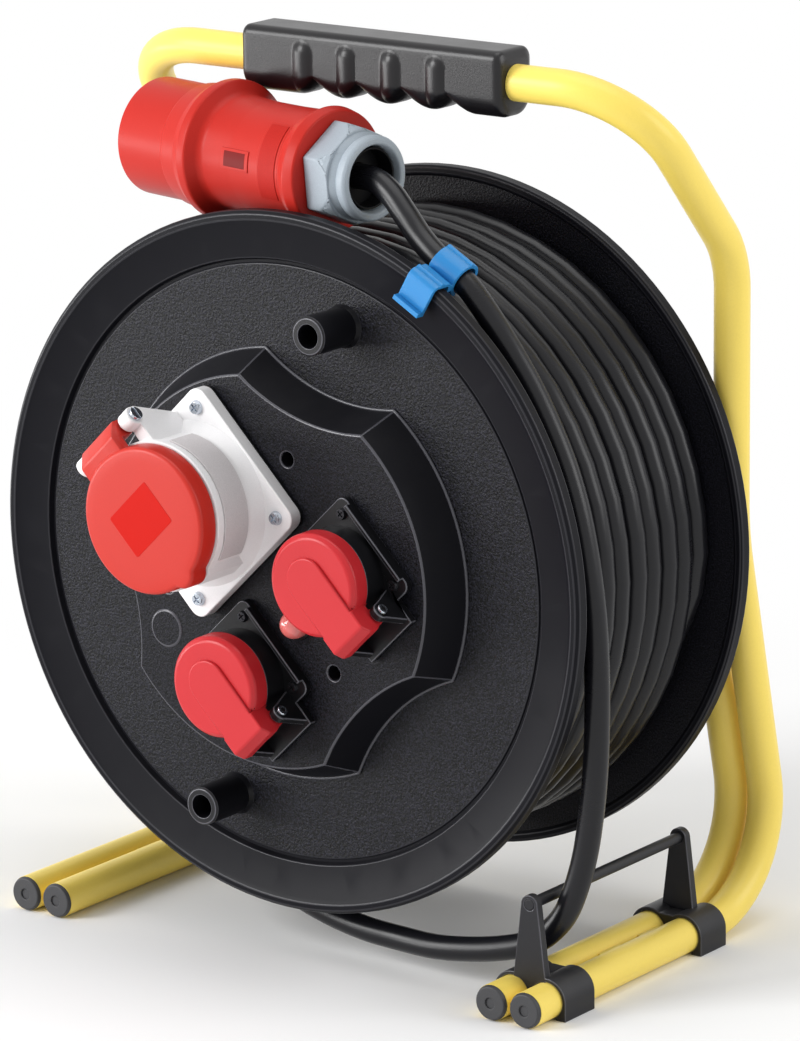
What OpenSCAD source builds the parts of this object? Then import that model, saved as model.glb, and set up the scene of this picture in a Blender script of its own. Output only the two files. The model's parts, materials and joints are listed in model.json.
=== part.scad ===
// Extension cord reel on a bent tube stand: drum with one five pole outlet and
// two earthed outlets under spring lids, wound cable, plug, cable clip and grip.
// Millimetres. X to the right, Y to the back, Z up, origin on the floor under
// the middle of the stand's box.

/* [Drum] */
// height of the drum axis over the floor
axis_h = 178; // [172:1:200]
// outer diameter of the drum flanges
drum_d = 310; // [300:1:330]
// overall depth of the drum
drum_depth = 131; // [126:1:140]
// turn of the drum about its axis at rest, degrees
drum_turn = 44.5; // [0:0.5:120]
// radius where the raised rim of the front flange starts
rim_step_r = 132.6; // [126:0.2:140]
// depth of the disc face behind the rim face
disc_drop = 5; // [3:0.5:7]
// wall of the flanges
flange_t = 3; // [2.5:0.1:3.5]
// outer radius of the core barrel
core_r = 78; // [77:0.5:80]
// wall of the core barrel
core_wall = 3; // [2.5:0.1:3.5]

/* [Winding posts] */
// distance of the posts from the drum axis
post_at = 113; // [108:0.5:118]
// direction of the first post, degrees
post_dir = 29.5; // [20:0.5:40]
// outer diameter of a post
post_d = 17; // [15:0.5:20]
// bore of a post
post_bore = 10.5; // [8:0.1:12]
// top of a post in front of the rim face
post_top = 20; // [14:1:30]

/* [Socket panel] */
// height of the panel top in front of the rim face
panel_top = 14; // [12:0.5:16]
// lobe radius at the panel top
panel_r = 86.5; // [84:0.5:90]
// lobe radius at the panel foot
panel_foot_r = 95; // [92:0.5:100]
// wall of the panel
panel_wall = 3; // [2:0.1:3.5]
// radius of the screw wells from the axis
well_at = 54; // [53:0.5:56]

/* [Five pole outlet] */
// height of its centre over the drum axis
cee_v = 40; // [39:0.5:42]
// side of the square flange
cee_flange = 75; // [74:0.5:78]
// half spacing of the flange screws
cee_screw = 30; // [29:0.5:31]
// outer radius of the outlet body
cee_body_r = 32.2; // [31.5:0.1:33]
// bore radius of the outlet body
cee_bore_r = 28.8; // [28:0.1:29.4]
// height of the mouth in front of the rim face
cee_mouth = 49.3; // [46:0.1:52]
// radius of the pin circle
cee_pin_circle = 13; // [11:0.5:14]
// lid thickness
cee_lid_t = 10; // [8:0.5:12]

/* [Earthed outlets] */
// sideways place of their centres
sk_u = 38; // [37:0.5:40]
// height of their centres over the drum axis
sk_v = -27.5; // [-29:0.5:-27]
// side of the square flange
sk_flange = 50; // [49:0.5:52]
// half spacing of the flange screws
sk_screw = 19; // [18.5:0.5:20]
// radius of the outlet body
sk_body_r = 21.5; // [21.2:0.1:22.5]
// bore radius of the outlet
sk_bore_r = 19.5; // [19:0.1:19.8]
// height of the mouth in front of the rim face
sk_mouth = 29.4; // [28:0.1:31]

/* [Stand] */
// tube diameter
tube_d = 16; // [15:0.5:17]
// tube wall
tube_wall = 1.5; // [1:0.1:2.5]
// sideways place of the outer tube
outer_x = 137.5; // [137:0.5:141]
// gap between the paired tubes
pair_gap = 1.6; // [1:0.1:3]
// lean of the uprights, degrees
lean = 13; // [11:0.5:14]
// front end of the foot tubes behind the rim face
foot_front = -14; // [-20:1:-10]
// gap between the drum and the uprights
upright_gap = 3; // [2:0.2:10]
// height of the handle tube
handle_h = 385.5; // [380:0.5:400]
// depth of the handle tube behind the rim face
handle_y = 70; // [68:1:78]
// length of the grip
grip_len = 139; // [130:1:150]
// sideways place of the grip's middle
grip_shift = 5.7; // [-10:0.1:10]
// depth of the grip
grip_depth = 26; // [24:0.5:28]

/* [Axle] */
// shaft diameter
axle_d = 16; // [14:0.5:17]
// running gap of the bushes
axle_gap = 0.06; // [0.02:0.01:0.1]
// stud diameter
stud_d = 10; // [8:0.5:11]

/* [Cable and plug] */
// cable diameter
cable_d = 11; // [10.4:0.1:11.3]
// step of the winding along the axis
wind_pitch = 11.8; // [11.8:0.1:12.2]
// drum depth that the outer layer leaves free
wind_spare = 27.75; // [26.6:0.1:36]
// radius of the outer layer's centre line
wind_r = 134; // [132:0.2:135]
// plug length over everything
plug_len = 136; // [130:1:140]
// outer radius of the plug shroud
shroud_r = 26; // [25.6:0.1:27]
// wall of the plug shroud
shroud_wall = 2.2; // [2:0.1:2.8]

/* [Hidden] */
$fn = 64;
eps = 0.01;
gap = 0.3;
fit = 0.05;
drum_r = drum_d / 2;
pair_pitch = tube_d + pair_gap;
inner_x = outer_x - pair_pitch;
tube_z = tube_d / 2;
tube_r = tube_d / 2;
foot_bend = 46;
upright_z = 183;
foot_corner = drum_depth + upright_gap + tube_r + (upright_z - tube_z) * tan(lean);
cross_y = foot_corner - (axis_h - tube_z) * tan(lean);
lid_face = cee_mouth + 0.7 + cee_lid_t;
rear_y = foot_corner - foot_bend * tan(45 + lean / 2) + foot_bend + tube_r;
y_c = (lid_face - rear_y) / 2;

// drum depths, counted negative behind the rim face
disc_w = -disc_drop;
disc_back = disc_w - flange_t;
boss_at = core_r - core_wall - 5;
rear_in = -drum_depth + 6;
rear_plate = rear_in - flange_t;
hub_end = rear_in + 1;
hub_front = -58;
bush_t = 2;
collar_front = hub_end - bush_t - gap;
collar_back = collar_front - 3;
washer_back = hub_front + bush_t + 0.4;
washer_front = washer_back + 1.5;
ring_mid = washer_front + 1.1;
axle_end = ring_mid + 3;

// hinge lines
cee_hinge_v = cee_v + 39.5;
cee_hinge_w = cee_mouth - 2.3;
cee_pin_r = 1.9;
sk_hinge_v = -26;
sk_hinge_w = sk_mouth - 0.4;
sk_pin_r = 1.5;

// grip section
grip_top = 14.5;
grip_bottom = 14.8;

// guide bracket on the right feet
guide_x = (outer_x + inner_x) / 2;
guide_rod_z = 49;
guide_rod_r = 2.5;
guide_ys = [[0.7, 22.7, 2.7], [104.4, 124.4, 115.5]];

// free cable route in the stand's frame, heights from the floor
gland_at = [32, 27.6, 346.2];
plug_yaw = 170.6;
plug_pitch = 0.8;
route = [
  [19, 29.7, 346.2], [32, 27.5, 345.8], [42, 25.4, 341.2], [51, 23.2, 333.8],
  [60, 21.2, 325.6], [69.3, 19.4, 319.1], [78.3, 19, 313.5], [87, 19, 307.3],
  [97, 19, 296.5], [107, 19, 284], [117.5, 20, 268.5], [127, 20, 252.5],
  [135, 20, 236], [141.5, 20, 217], [146.2, 20, 196], [149.3, 20, 174],
  [150.6, 20, 151], [150.6, 20, 128], [149.6, 20, 107], [147.2, 20, 85],
  [143.2, 20, 64.5], [136.8, 18.5, 44.5], [128.5, 17.5, 33], [118, 17, 25.5],
  [104, 17, 20.5], [87, 17, 16.6], [68, 17, 14], [49, 18, 13.6],
  [29, 18, 14.6], [9, 19, 17.5], [-10, 20, 22.5], [-28, 20, 30.3],
  [-45, 20, 40]];

yellow = [0.95, 0.78, 0.2];
black = [0.1, 0.1, 0.11];
soft_black = [0.16, 0.16, 0.17];
red = [0.8, 0.1, 0.12];
steel = [0.72, 0.73, 0.75];
brass = [0.78, 0.62, 0.3];
light_grey = [0.82, 0.83, 0.84];
blue = [0.25, 0.6, 0.9];

// ---- frames ----

// stand frame: X right, Y back from the rim face, Z from the floor
module on_floor() {
  translate([0, y_c, 0])
    children();
}

// drum frame: x and y in the drum's face, z outward in front of the rim face
module on_drum() {
  translate([0, y_c, axis_h])
    rotate([0, -drum_turn, 0])
      rotate([90, 0, 0])
        children();
}

// axle frame: z forward along the drum axis, not turned with the drum
module on_axle() {
  translate([0, y_c, axis_h])
    rotate([90, 0, 0])
      children();
}

// plug frame: z from the gland end towards the pins, -x up
module on_plug() {
  translate(gland_at + [0, y_c, 0])
    rotate([0, 0, plug_yaw])
      rotate([0, 90 - plug_pitch, 0])
        children();
}

// ---- shared shapes ----

module ring(ro, ri, z0, z1) {
  translate([0, 0, z0])
    difference() {
      cylinder(r = ro, h = z1 - z0);
      translate([0, 0, -1])
        cylinder(r = ri, h = z1 - z0 + 2);
    }
}

module rounded_plate(w, h, r, z0, z1) {
  translate([0, 0, z0]) {
    translate([-w / 2, -h / 2 + r, 0])
      cube([w, h - 2 * r, z1 - z0]);
    translate([-w / 2 + r, -h / 2, 0])
      cube([w - 2 * r, h, z1 - z0]);
    for (sx = [-1, 1], sy = [-1, 1])
      translate([sx * (w / 2 - r), sy * (h / 2 - r), 0])
        cylinder(r = r, h = z1 - z0);
  }
}

module four(s) {
  for (sx = [-1, 1], sy = [-1, 1])
    translate([sx * s, sy * s, 0])
      children();
}

// pan head screw with a cross slot, head on the plane z = 0, shank down
module pan_screw(head_r, head_h, shank_r, length) {
  difference() {
    union() {
      cylinder(r1 = head_r, r2 = head_r * 0.8, h = head_h);
      translate([0, 0, -length])
        cylinder(r = shank_r, h = length + eps);
    }
    for (a = [0, 90])
      rotate([0, 0, a])
        translate([-head_r * 0.6, -head_r * 0.11, head_h * 0.45])
          cube([head_r * 1.2, head_r * 0.22, head_h]);
  }
}

// solid polygon in the (y, z) plane of the current frame, along x
module along_x(x0, x1) {
  translate([x0, 0, 0])
    rotate([90, 0, 90])
      linear_extrude(height = x1 - x0)
        children();
}

// ---- bent tube: vertices and bend radii, straight runs and round bends ----

function unit(v) = v / norm(v);
function turn_at(p, i) = acos(unit(p[i] - p[i - 1]) * unit(p[i + 1] - p[i]));
function cut_at(p, r, i) = i <= 0 || i >= len(p) - 1 ? 0 : r[i] * tan(turn_at(p, i) / 2);

module pipe_section(shave) {
  difference() {
    circle(r = tube_r - shave, $fn = 32);
    circle(r = tube_r - tube_wall + shave, $fn = 32);
  }
}

module run_between(a, b) {
  d = b - a;
  translate(a)
    rotate([0, 0, atan2(d[1], d[0])])
      rotate([0, acos(d[2] / norm(d)), 0])
        linear_extrude(height = norm(d))
          pipe_section(0);
}

// a bend reaches a little way into the runs at its ends, just inside their wall
module bend_at(p, r, i) {
  reach = 0.5;
  d0 = unit(p[i] - p[i - 1]);
  d1 = unit(p[i + 1] - p[i]);
  n = unit(d1 - (d0 * d1) * d0);
  start = p[i] - d0 * cut_at(p, r, i);
  c = start + n * r[i];
  z = cross(-n, d0);
  multmatrix([
    [-n[0], d0[0], z[0], c[0]],
    [-n[1], d0[1], z[1], c[1]],
    [-n[2], d0[2], z[2], c[2]],
    [0, 0, 0, 1]])
    rotate([0, 0, -reach])
      rotate_extrude(angle = turn_at(p, i) + 2 * reach, $fn = 72)
        translate([r[i], 0])
          pipe_section(0.06);
}

module bent_tube(p, r) {
  for (i = [0:len(p) - 2])
    run_between(
      p[i] + unit(p[i + 1] - p[i]) * cut_at(p, r, i),
      p[i + 1] - unit(p[i + 1] - p[i]) * cut_at(p, r, i + 1));
  for (i = [1:len(p) - 2])
    bend_at(p, r, i);
}

// ---- stand ----

lug_ys = [foot_corner - 120.4, foot_corner - 90.4];
lean_y = foot_corner - (upright_z - tube_z) * tan(lean);
outer_half = [
  [outer_x, foot_front, tube_z], [outer_x, foot_corner, tube_z],
  [outer_x, lean_y, upright_z], [outer_x, lean_y, handle_h - 79.5], [outer_x, handle_y, handle_h]];
outer_path = concat(
  [for (i = [0:4]) [-outer_half[i][0], outer_half[i][1], outer_half[i][2]]],
  [for (i = [4:-1:0]) outer_half[i]]);
outer_radii = [0, foot_bend, 120, 40, 40, 40, 40, 120, foot_bend, 0];

inner_path = [
  [-inner_x, foot_front, tube_z], [-inner_x, foot_corner, tube_z],
  [-inner_x, cross_y, axis_h], [inner_x, cross_y, axis_h],
  [inner_x, foot_corner, tube_z], [inner_x, foot_front, tube_z]];
inner_radii = [0, foot_bend, 82, 82, foot_bend, 0];

module frame_outer_tube() {
  color(yellow)
    on_floor()
      bent_tube(outer_path, outer_radii);
}

module frame_inner_tube() {
  color(yellow)
    on_floor()
      difference() {
        bent_tube(inner_path, inner_radii);
        translate([0, cross_y + tube_r + 2, axis_h])
          rotate([90, 0, 0])
            cylinder(r = stud_d / 2 + 0.2, h = tube_d + 4);
      }
}

// weld webs that join the paired tubes at the feet
module tube_lugs() {
  color(yellow)
    on_floor()
      for (s = [-1, 1], y = lug_ys)
        difference() {
          translate([s * guide_x - pair_pitch * 0.2, y - 8, tube_z - 4])
            cube([pair_pitch * 0.4, 16, 8]);
          for (x = [inner_x, outer_x])
            translate([s * x, y + 9, tube_z])
              rotate([90, 0, 0])
                cylinder(r = tube_r + 0.02, h = 18, $fn = 40);
        }
}

module foot_caps() {
  color(black)
    on_floor()
      for (x = [-outer_x, -inner_x, inner_x, outer_x])
        translate([x, foot_front, tube_z])
          rotate([90, 0, 0])
            difference() {
              union() {
                translate([0, 0, 0])
                  cylinder(r1 = tube_r, r2 = tube_r - 0.8, h = 2);
                translate([0, 0, -12])
                  cylinder(r = tube_r - tube_wall - fit, h = 12 + eps);
              }
              translate([0, 0, 1.2])
                cylinder(r = 2.4, h = 2);
              translate([0, 0, -13])
                cylinder(r = tube_r - tube_wall - 2, h = 11.5);
            }
}

// grip with four finger grooves that run across the underside and up both sides
module hand_grip() {
  groove_r = 6.3;
  color(black)
    on_floor()
      translate([grip_shift, handle_y, handle_h])
        difference() {
          along_x(-grip_len / 2, grip_len / 2)
            grip_section();
          along_x(-grip_len / 2 - 1, grip_len / 2 + 1)
            circle(r = tube_r + fit, $fn = 40);
          for (x = [-32.2, -8.5, 15.2, 38.9]) {
            translate([x, -grip_depth / 2 - 1, -grip_bottom - 2.1])
              rotate([-90, 0, 0])
                cylinder(r = groove_r, h = grip_depth + 2);
            for (s = [-1, 1])
              translate([x, s * (grip_depth / 2 + 4.4), -grip_bottom - 4])
                cylinder(r = groove_r, h = grip_bottom + 10);
          }
        }
}

module grip_section() {
  low = 9;
  high = 4;
  union() {
    translate([-grip_depth / 2, -grip_bottom + low])
      square([grip_depth, grip_top + grip_bottom - low - high]);
    translate([-grip_depth / 2 + low, -grip_bottom])
      square([grip_depth - 2 * low, low + 1]);
    translate([-grip_depth / 2 + high, grip_top - high - 1])
      square([grip_depth - 2 * high, high + 1]);
    for (s = [-1, 1]) {
      translate([s * (grip_depth / 2 - low), -grip_bottom + low])
        circle(r = low);
      translate([s * (grip_depth / 2 - high), grip_top - high])
        circle(r = high);
    }
  }
}

// bracket that snaps over the paired feet and carries one end of the guide rod
module guide_clamp(y0, y1, horn_y) {
  wall = 1.8;
  horn_t = 4;
  color(black)
    on_floor()
      difference() {
        union() {
          difference() {
            union() {
              for (x = [inner_x, outer_x])
                translate([x, y1, tube_z])
                  rotate([90, 0, 0])
                    cylinder(r = tube_r + wall, h = y1 - y0);
              translate([inner_x - tube_r - wall, y0, 0])
                cube([pair_pitch + tube_d + 2 * wall, y1 - y0, tube_z]);
              translate([inner_x, y0, 0])
                cube([pair_pitch, y1 - y0, tube_d + wall - 1.5]);
            }
            translate([inner_x - 30, y0 - 1, -10])
              cube([pair_pitch + 60, y1 - y0 + 2, 10]);
            for (x = [inner_x, outer_x]) {
              translate([x, y1 + 1, tube_z])
                rotate([90, 0, 0])
                  cylinder(r = tube_r + 0.15, h = y1 - y0 + 2, $fn = 40);
              translate([x - tube_r * 0.55, y0 - 1, -1])
                cube([tube_r * 1.1, y1 - y0 + 2, 3]);
            }
          }
          translate([0, horn_y + horn_t / 2, 0])
            rotate([90, 0, 0])
              linear_extrude(height = horn_t)
                polygon([
                  [guide_x - 8.4, tube_d - 0.5], [guide_x + 8.4, tube_d - 0.5],
                  [guide_x + guide_rod_r + 1.7, guide_rod_z],
                  [guide_x - guide_rod_r - 1.7, guide_rod_z]]);
          translate([guide_x, horn_y + horn_t / 2, guide_rod_z])
            rotate([90, 0, 0])
              cylinder(r = guide_rod_r + 1.7, h = horn_t);
        }
        translate([guide_x, horn_y + horn_t, guide_rod_z])
          rotate([90, 0, 0])
            cylinder(r = guide_rod_r + fit, h = 2 * horn_t);
      }
}

module guide_clamp_front() {
  guide_clamp(guide_ys[0][0], guide_ys[0][1], guide_ys[0][2]);
}

module guide_clamp_rear() {
  guide_clamp(guide_ys[1][0], guide_ys[1][1], guide_ys[1][2]);
}

module guide_rod() {
  color(black)
    on_floor()
      translate([guide_x, guide_ys[1][2] + 2, guide_rod_z])
        rotate([90, 0, 0])
          cylinder(r = guide_rod_r, h = guide_ys[1][2] - guide_ys[0][2] + 4);
}

// ---- axle set ----

module axle() {
  color(steel)
    on_axle()
      difference() {
        rotate_extrude()
          polygon([
            [0, -cross_y - 28], [stud_d / 2, -cross_y - 28], [stud_d / 2, collar_back],
            [12, collar_back], [12, collar_front], [axle_d / 2, collar_front],
            [axle_d / 2, axle_end - 1], [axle_d / 2 - 1, axle_end], [0, axle_end]]);
        ring(axle_d, axle_d / 2 - 0.8, ring_mid - 0.65, ring_mid + 0.65);
      }
}

module axle_saddles() {
  color(black)
    on_axle()
      difference() {
        union() {
          translate([0, 0, -cross_y])
            cylinder(r = 11, h = cross_y + collar_back);
          translate([0, 0, -cross_y - 14])
            cylinder(r = 11, h = 14);
        }
        translate([-20, 0, -cross_y])
          rotate([0, 90, 0])
            cylinder(r = tube_r + 0.02, h = 40, $fn = 40);
        translate([-20, -20, -cross_y - 1.5])
          cube([40, 40, 3]);
        translate([0, 0, -cross_y - 20])
          cylinder(r = stud_d / 2 + 0.1, h = cross_y);
      }
}

module axle_washer() {
  color(steel)
    on_axle()
      ring(11, stud_d / 2 + 0.15, -cross_y - 15.6, -cross_y - 14);
}

module axle_nut() {
  color(steel)
    on_axle()
      difference() {
        translate([0, 0, -cross_y - 24])
          cylinder(r = 9.8, h = 8.4, $fn = 6);
        translate([0, 0, -cross_y - 25])
          cylinder(r = stud_d / 2 + fit, h = 12);
      }
}

module axle_front_washer() {
  color(steel)
    on_axle()
      ring(13, axle_d / 2 + 0.1, washer_back, washer_front);
}

module retaining_ring() {
  color(steel)
    on_axle()
      difference() {
        ring(10.6, axle_d / 2 - 0.75, ring_mid - 0.55, ring_mid + 0.55);
        translate([0, 0, ring_mid - 1])
          rotate([0, 0, -25])
            cube([20, 6, 3]);
      }
}

// ---- drum ----

module front_flange() {
  lip = 1.6;
  color(soft_black)
    on_drum()
      difference() {
        union() {
          rotate_extrude($fn = 160)
            polygon([
              [74, disc_back], [drum_r - lip, disc_back], [drum_r, disc_back + lip],
              [drum_r, -lip], [drum_r - lip, 0], [drum_r - 4, 0], [drum_r - 6, -1],
              [rim_step_r + 1.4, disc_w + 1.7], [rim_step_r + 0.4, disc_w - 0.8],
              [rim_step_r - 0.8, disc_w - 0.8], [rim_step_r - 1.2, disc_w], [74, disc_w]]);
          for (a = [0:60:300])
            rotate([0, 0, a])
              translate([boss_at, 0, disc_back + 0.4])
                cylinder(r = 6, h = flange_t + 0.2);
          for (a = [30, 150, 270])
            rotate([0, 0, a]) {
              translate([well_at - 8, -7, disc_back])
                cube([76 - well_at + 8, 14, flange_t]);
              translate([well_at, 0, disc_back - 14])
                cylinder(r = 4.5, h = 14 + eps);
            }
        }
        for (a = [0:60:300])
          rotate([0, 0, a])
            translate([boss_at, 0, disc_back - 1])
              cylinder(r = 2.1, h = flange_t + 2);
        for (a = [30, 150, 270])
          rotate([0, 0, a])
            translate([well_at, 0, disc_back - 13])
              cylinder(r = 1.8, h = 20);
        for (a = [0, 180])
          rotate([0, 0, post_dir + a])
            translate([post_at, 0, disc_back - 1])
              cylinder(r = post_d / 2 - 1.5, h = flange_t + 2);
      }
}

module rear_flange() {
  color(soft_black)
    on_drum()
      difference() {
        union() {
          rotate_extrude($fn = 160)
            polygon([
              [10.5, hub_front], [14, hub_front], [14, rear_in + 4], [22, rear_in + 4],
              [22, rear_in], [drum_r - 5, rear_in], [drum_r - 3.5, rear_in + 1],
              [drum_r - 1.2, rear_in + 1], [drum_r, rear_in], [drum_r, -drum_depth + 1.2],
              [drum_r - 1.2, -drum_depth], [drum_r - 4, -drum_depth],
              [drum_r - 5.5, rear_plate], [18, rear_plate], [18, hub_end], [10.5, hub_end]]);
          for (a = [30:60:330])
            rotate([0, 0, a])
              translate([24, -1.5, -drum_depth + 0.6])
                cube([drum_r - 29, 3, rear_plate + drum_depth - 0.6 + eps]);
          ring(112, 109, -drum_depth + 0.6, rear_plate + eps);
        }
        for (a = [0:60:300])
          rotate([0, 0, a])
            translate([boss_at, 0, rear_plate - 1])
              cylinder(r = 2.1, h = flange_t + 2);
      }
}

module drum_core() {
  color(soft_black)
    on_drum()
      difference() {
        union() {
          ring(core_r, core_r - core_wall, rear_in, disc_back);
          for (a = [0:60:300])
            rotate([0, 0, a])
              for (z = [rear_in + 0.5, disc_back - 20])
                translate([boss_at, 0, z])
                  cylinder(r = 6, h = 19.5);
        }
        for (a = [0:60:300])
          rotate([0, 0, a])
            for (z = [rear_in - 1, disc_back - 18])
              translate([boss_at, 0, z])
                cylinder(r = 1.9, h = 19);
        rotate([0, 0, 250])
          translate([core_r - 12, 0, -60])
            rotate([0, 90, 0])
              cylinder(r = cable_d / 2 + 0.7, h = 20);
      }
}

module core_screws_front() {
  color(steel)
    on_drum()
      for (a = [0:60:300])
        rotate([0, 0, a])
          translate([boss_at, 0, disc_w + 0.6])
            pan_screw(3.6, 2.4, 1.85, 19);
}

module core_screws_rear() {
  color(steel)
    on_drum()
      for (a = [0:60:300])
        rotate([0, 0, a])
          translate([boss_at, 0, rear_plate])
            rotate([180, 0, 0])
              pan_screw(3.6, 2.4, 1.85, 19);
}

module hub_bush(z_flange, dir) {
  color(light_grey)
    on_drum()
      translate([0, 0, z_flange])
        mirror([0, 0, dir]) {
          ring(10.45, axle_d / 2 + axle_gap, -14, eps);
          ring(14, axle_d / 2 + axle_gap, 0, bush_t);
        }
}

module hub_bush_front() {
  hub_bush(hub_front, 0);
}

module hub_bush_rear() {
  hub_bush(hub_end, 1);
}

module winding_posts() {
  color(black)
    on_drum()
      for (a = [0, 180])
        rotate([0, 0, post_dir + a])
          translate([post_at, 0, 0])
            difference() {
              union() {
                translate([0, 0, disc_w])
                  cylinder(r = post_d / 2, h = post_top - disc_w - 0.8);
                translate([0, 0, post_top - 0.8 - eps])
                  cylinder(r1 = post_d / 2, r2 = post_d / 2 - 0.8, h = 0.8);
                translate([0, 0, disc_w])
                  cylinder(r1 = post_d / 2 + 1.2, r2 = post_d / 2, h = 2.4);
                translate([0, 0, disc_back])
                  cylinder(r = post_d / 2 - 1.55, h = flange_t + eps);
              }
              translate([0, 0, disc_w - 1])
                cylinder(r = post_bore / 2, h = post_top - disc_w + 3);
            }
}

// ---- wound cable ----

wind_back = rear_in + cable_d / 2 + 0.3;
wind_steps = floor((drum_depth - wind_spare) / wind_pitch * 24 + eps);
function wind_ring(i) = [
  wind_r * cos(i * 15), wind_r * sin(i * 15), wind_back + wind_pitch * i / 24];
wind_mid = [for (i = [0:wind_steps]) wind_ring(i)];
function run_out(a, b, l) = b + unit([b[0] - a[0], b[1] - a[1], 0]) * l;
wind_line = concat(
  [run_out(wind_mid[1], wind_mid[0], cable_d)],
  wind_mid,
  [run_out(wind_mid[wind_steps - 1], wind_mid[wind_steps], cable_d)]);
wind_gap = min([
  for (i = [0:wind_steps - 12], j = [i + 12:wind_steps])
    if (abs(j - i - 24) < 3) norm(wind_mid[i] - wind_mid[j])]) - cable_d;
echo(least_gap_of_winding = wind_gap);

// tube of n sides swept along points, up gives the frame's first direction
function tube_dir(p, i) = unit(p[min(i + 1, len(p) - 1)] - p[max(i - 1, 0)]);
function tube_side(d, up) = unit(cross(d, up));
function tube_ring(c, d, up, r, n) = [
  for (k = [0:n - 1])
    c + r * (cos(360 * k / n) * tube_side(d, up)
      + sin(360 * k / n) * cross(tube_side(d, up), d))];
function flat(l) = [for (a = l) each a];

module swept_tube(p, r, n, up) {
  rings = [for (i = [0:len(p) - 1]) tube_ring(p[i], tube_dir(p, i), up, r, n)];
  last = (len(p) - 1) * n;
  walls = [
    for (i = [0:len(p) - 2], k = [0:n - 1])
      each [
        [i * n + k, i * n + (k + 1) % n, (i + 1) * n + k],
        [i * n + (k + 1) % n, (i + 1) * n + (k + 1) % n, (i + 1) * n + k]]];
  caps = [
    for (k = [1:n - 2])
      each [[0, k + 1, k], [last, last + k, last + k + 1]]];
  polyhedron(points = flat(rings), faces = concat(walls, caps));
}

module cable_winding_core() {
  color(black)
    on_drum()
      ring(
        wind_r * cos(7.5) - cable_d / 2 - 0.3, core_r + 0.2,
        rear_in + 0.3, disc_back - 0.3);
}

module cable_winding() {
  color(black)
    on_axle()
      swept_tube(wind_line, cable_d / 2, 6, [0, 0, 1]);
}

module cable_entry_clamp() {
  color(soft_black)
    on_drum()
      difference() {
        intersection() {
          rotate([0, 0, 250])
            translate([core_r - core_wall - 14, -13, -68])
              cube([20, 26, 16]);
          translate([0, 0, -70])
            cylinder(r = core_r - core_wall - fit, h = 20);
        }
        rotate([0, 0, 250])
          translate([40, 0, -60])
            rotate([0, 90, 0])
              cylinder(r = cable_d / 2 + 0.2, h = 60);
      }
}

// ---- socket panel ----

scallop_at = 168;

// three lobed body: tapered round block with three tapered round cuts
module lobed(z0, z1, r0, r1, grow) {
  dip0 = r0 - 14.3;
  dip1 = r1 - 13;
  difference() {
    translate([0, 0, z0])
      cylinder(r1 = r0 - grow, r2 = r1 - grow, h = z1 - z0, $fn = 160);
    for (a = [30, 150, 270])
      rotate([0, 0, a])
        translate([scallop_at, 0, z0 - eps])
          cylinder(
            r1 = scallop_at - dip0 + grow, r2 = scallop_at - dip1 + grow,
            h = z1 - z0 + 2 * eps, $fn = 160);
  }
}

module socket_panel() {
  color(soft_black)
    on_drum()
      difference() {
        union() {
          difference() {
            lobed(disc_w, panel_top, panel_foot_r, panel_r, 0);
            lobed(
              disc_w - 1, panel_top - panel_wall, panel_foot_r + 0.4,
              panel_r + 1.3, panel_wall);
          }
          for (a = [30, 150, 270])
            rotate([0, 0, a])
              translate([well_at, 0, disc_w])
                cylinder(r = 5.5, h = panel_top - disc_w - 1);
          for (s = [-1, 1])
            translate([s * 9, -2, -12])
              cylinder(r = 3, h = panel_top + 11);
          translate([-61, 14, panel_top - eps])
            cylinder(r1 = 8.6, r2 = 8.2, h = 0.6);
        }
        translate([0, cee_v, panel_top - panel_wall - 1])
          cylinder(r = cee_bore_r + 1.4, h = panel_wall + 2);
        for (s = [-1, 1])
          translate([s * sk_u, sk_v, panel_top - panel_wall - 1])
            cylinder(r = sk_bore_r + 1.2, h = panel_wall + 2);
        translate([0, -27, panel_top - panel_wall - 1])
          cylinder(r = 4.5, h = panel_wall + 2);
        for (a = [30, 150, 270])
          rotate([0, 0, a])
            translate([well_at, 0, 0]) {
              cylinder(r = 3.3, h = panel_top + 1);
              translate([0, 0, disc_w - 1])
                cylinder(r = 1.9, h = 10);
            }
        translate([0, cee_v, panel_top - panel_wall - 1])
          four(cee_screw)
            cylinder(r = 2, h = panel_wall + 2);
        for (s = [-1, 1])
          translate([s * sk_u, sk_v, panel_top - panel_wall - 1])
            four(sk_screw)
              cylinder(r = 1.7, h = panel_wall + 2);
      }
}

module panel_screws() {
  color(steel)
    on_drum()
      for (a = [30, 150, 270])
        rotate([0, 0, a])
          translate([well_at, 0, 0])
            pan_screw(3, 2.2, 1.7, 18);
}

module lamp_holder() {
  color(black)
    on_drum()
      translate([0, -27, 0])
        difference() {
          union() {
            translate([0, 0, -2])
              cylinder(r = 4.4, h = panel_top + 2);
            translate([0, 0, panel_top])
              cylinder(r = 7.2, h = 1.2);
          }
          translate([0, 0, 2])
            cylinder(r = 3, h = panel_top);
        }
}

module lamp_lens() {
  color([0.95, 0.7, 0.7])
    on_drum()
      translate([0, -27, panel_top + 1.2]) {
        cylinder(r = 6.2, h = 1.6);
        translate([0, 0, 1.6])
          intersection() {
            sphere(r = 6.2);
            cylinder(r = 7, h = 7);
          }
      }
}

module terminal_block() {
  color(light_grey)
    on_drum()
      difference() {
        translate([-14, -12, -26])
          cube([28, 20, 14]);
        for (x = [-10.5, -3.5, 3.5, 10.5]) {
          translate([x, -13, -20])
            rotate([-90, 0, 0])
              cylinder(r = 2, h = 22);
          translate([x, 3, -20])
            cylinder(r = 1.8, h = 10);
        }
      }
}

// ---- five pole outlet ----

gasket_t = 1.2;
cee_seat = panel_top + gasket_t;
cee_flange_top = panel_top + 8;

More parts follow.
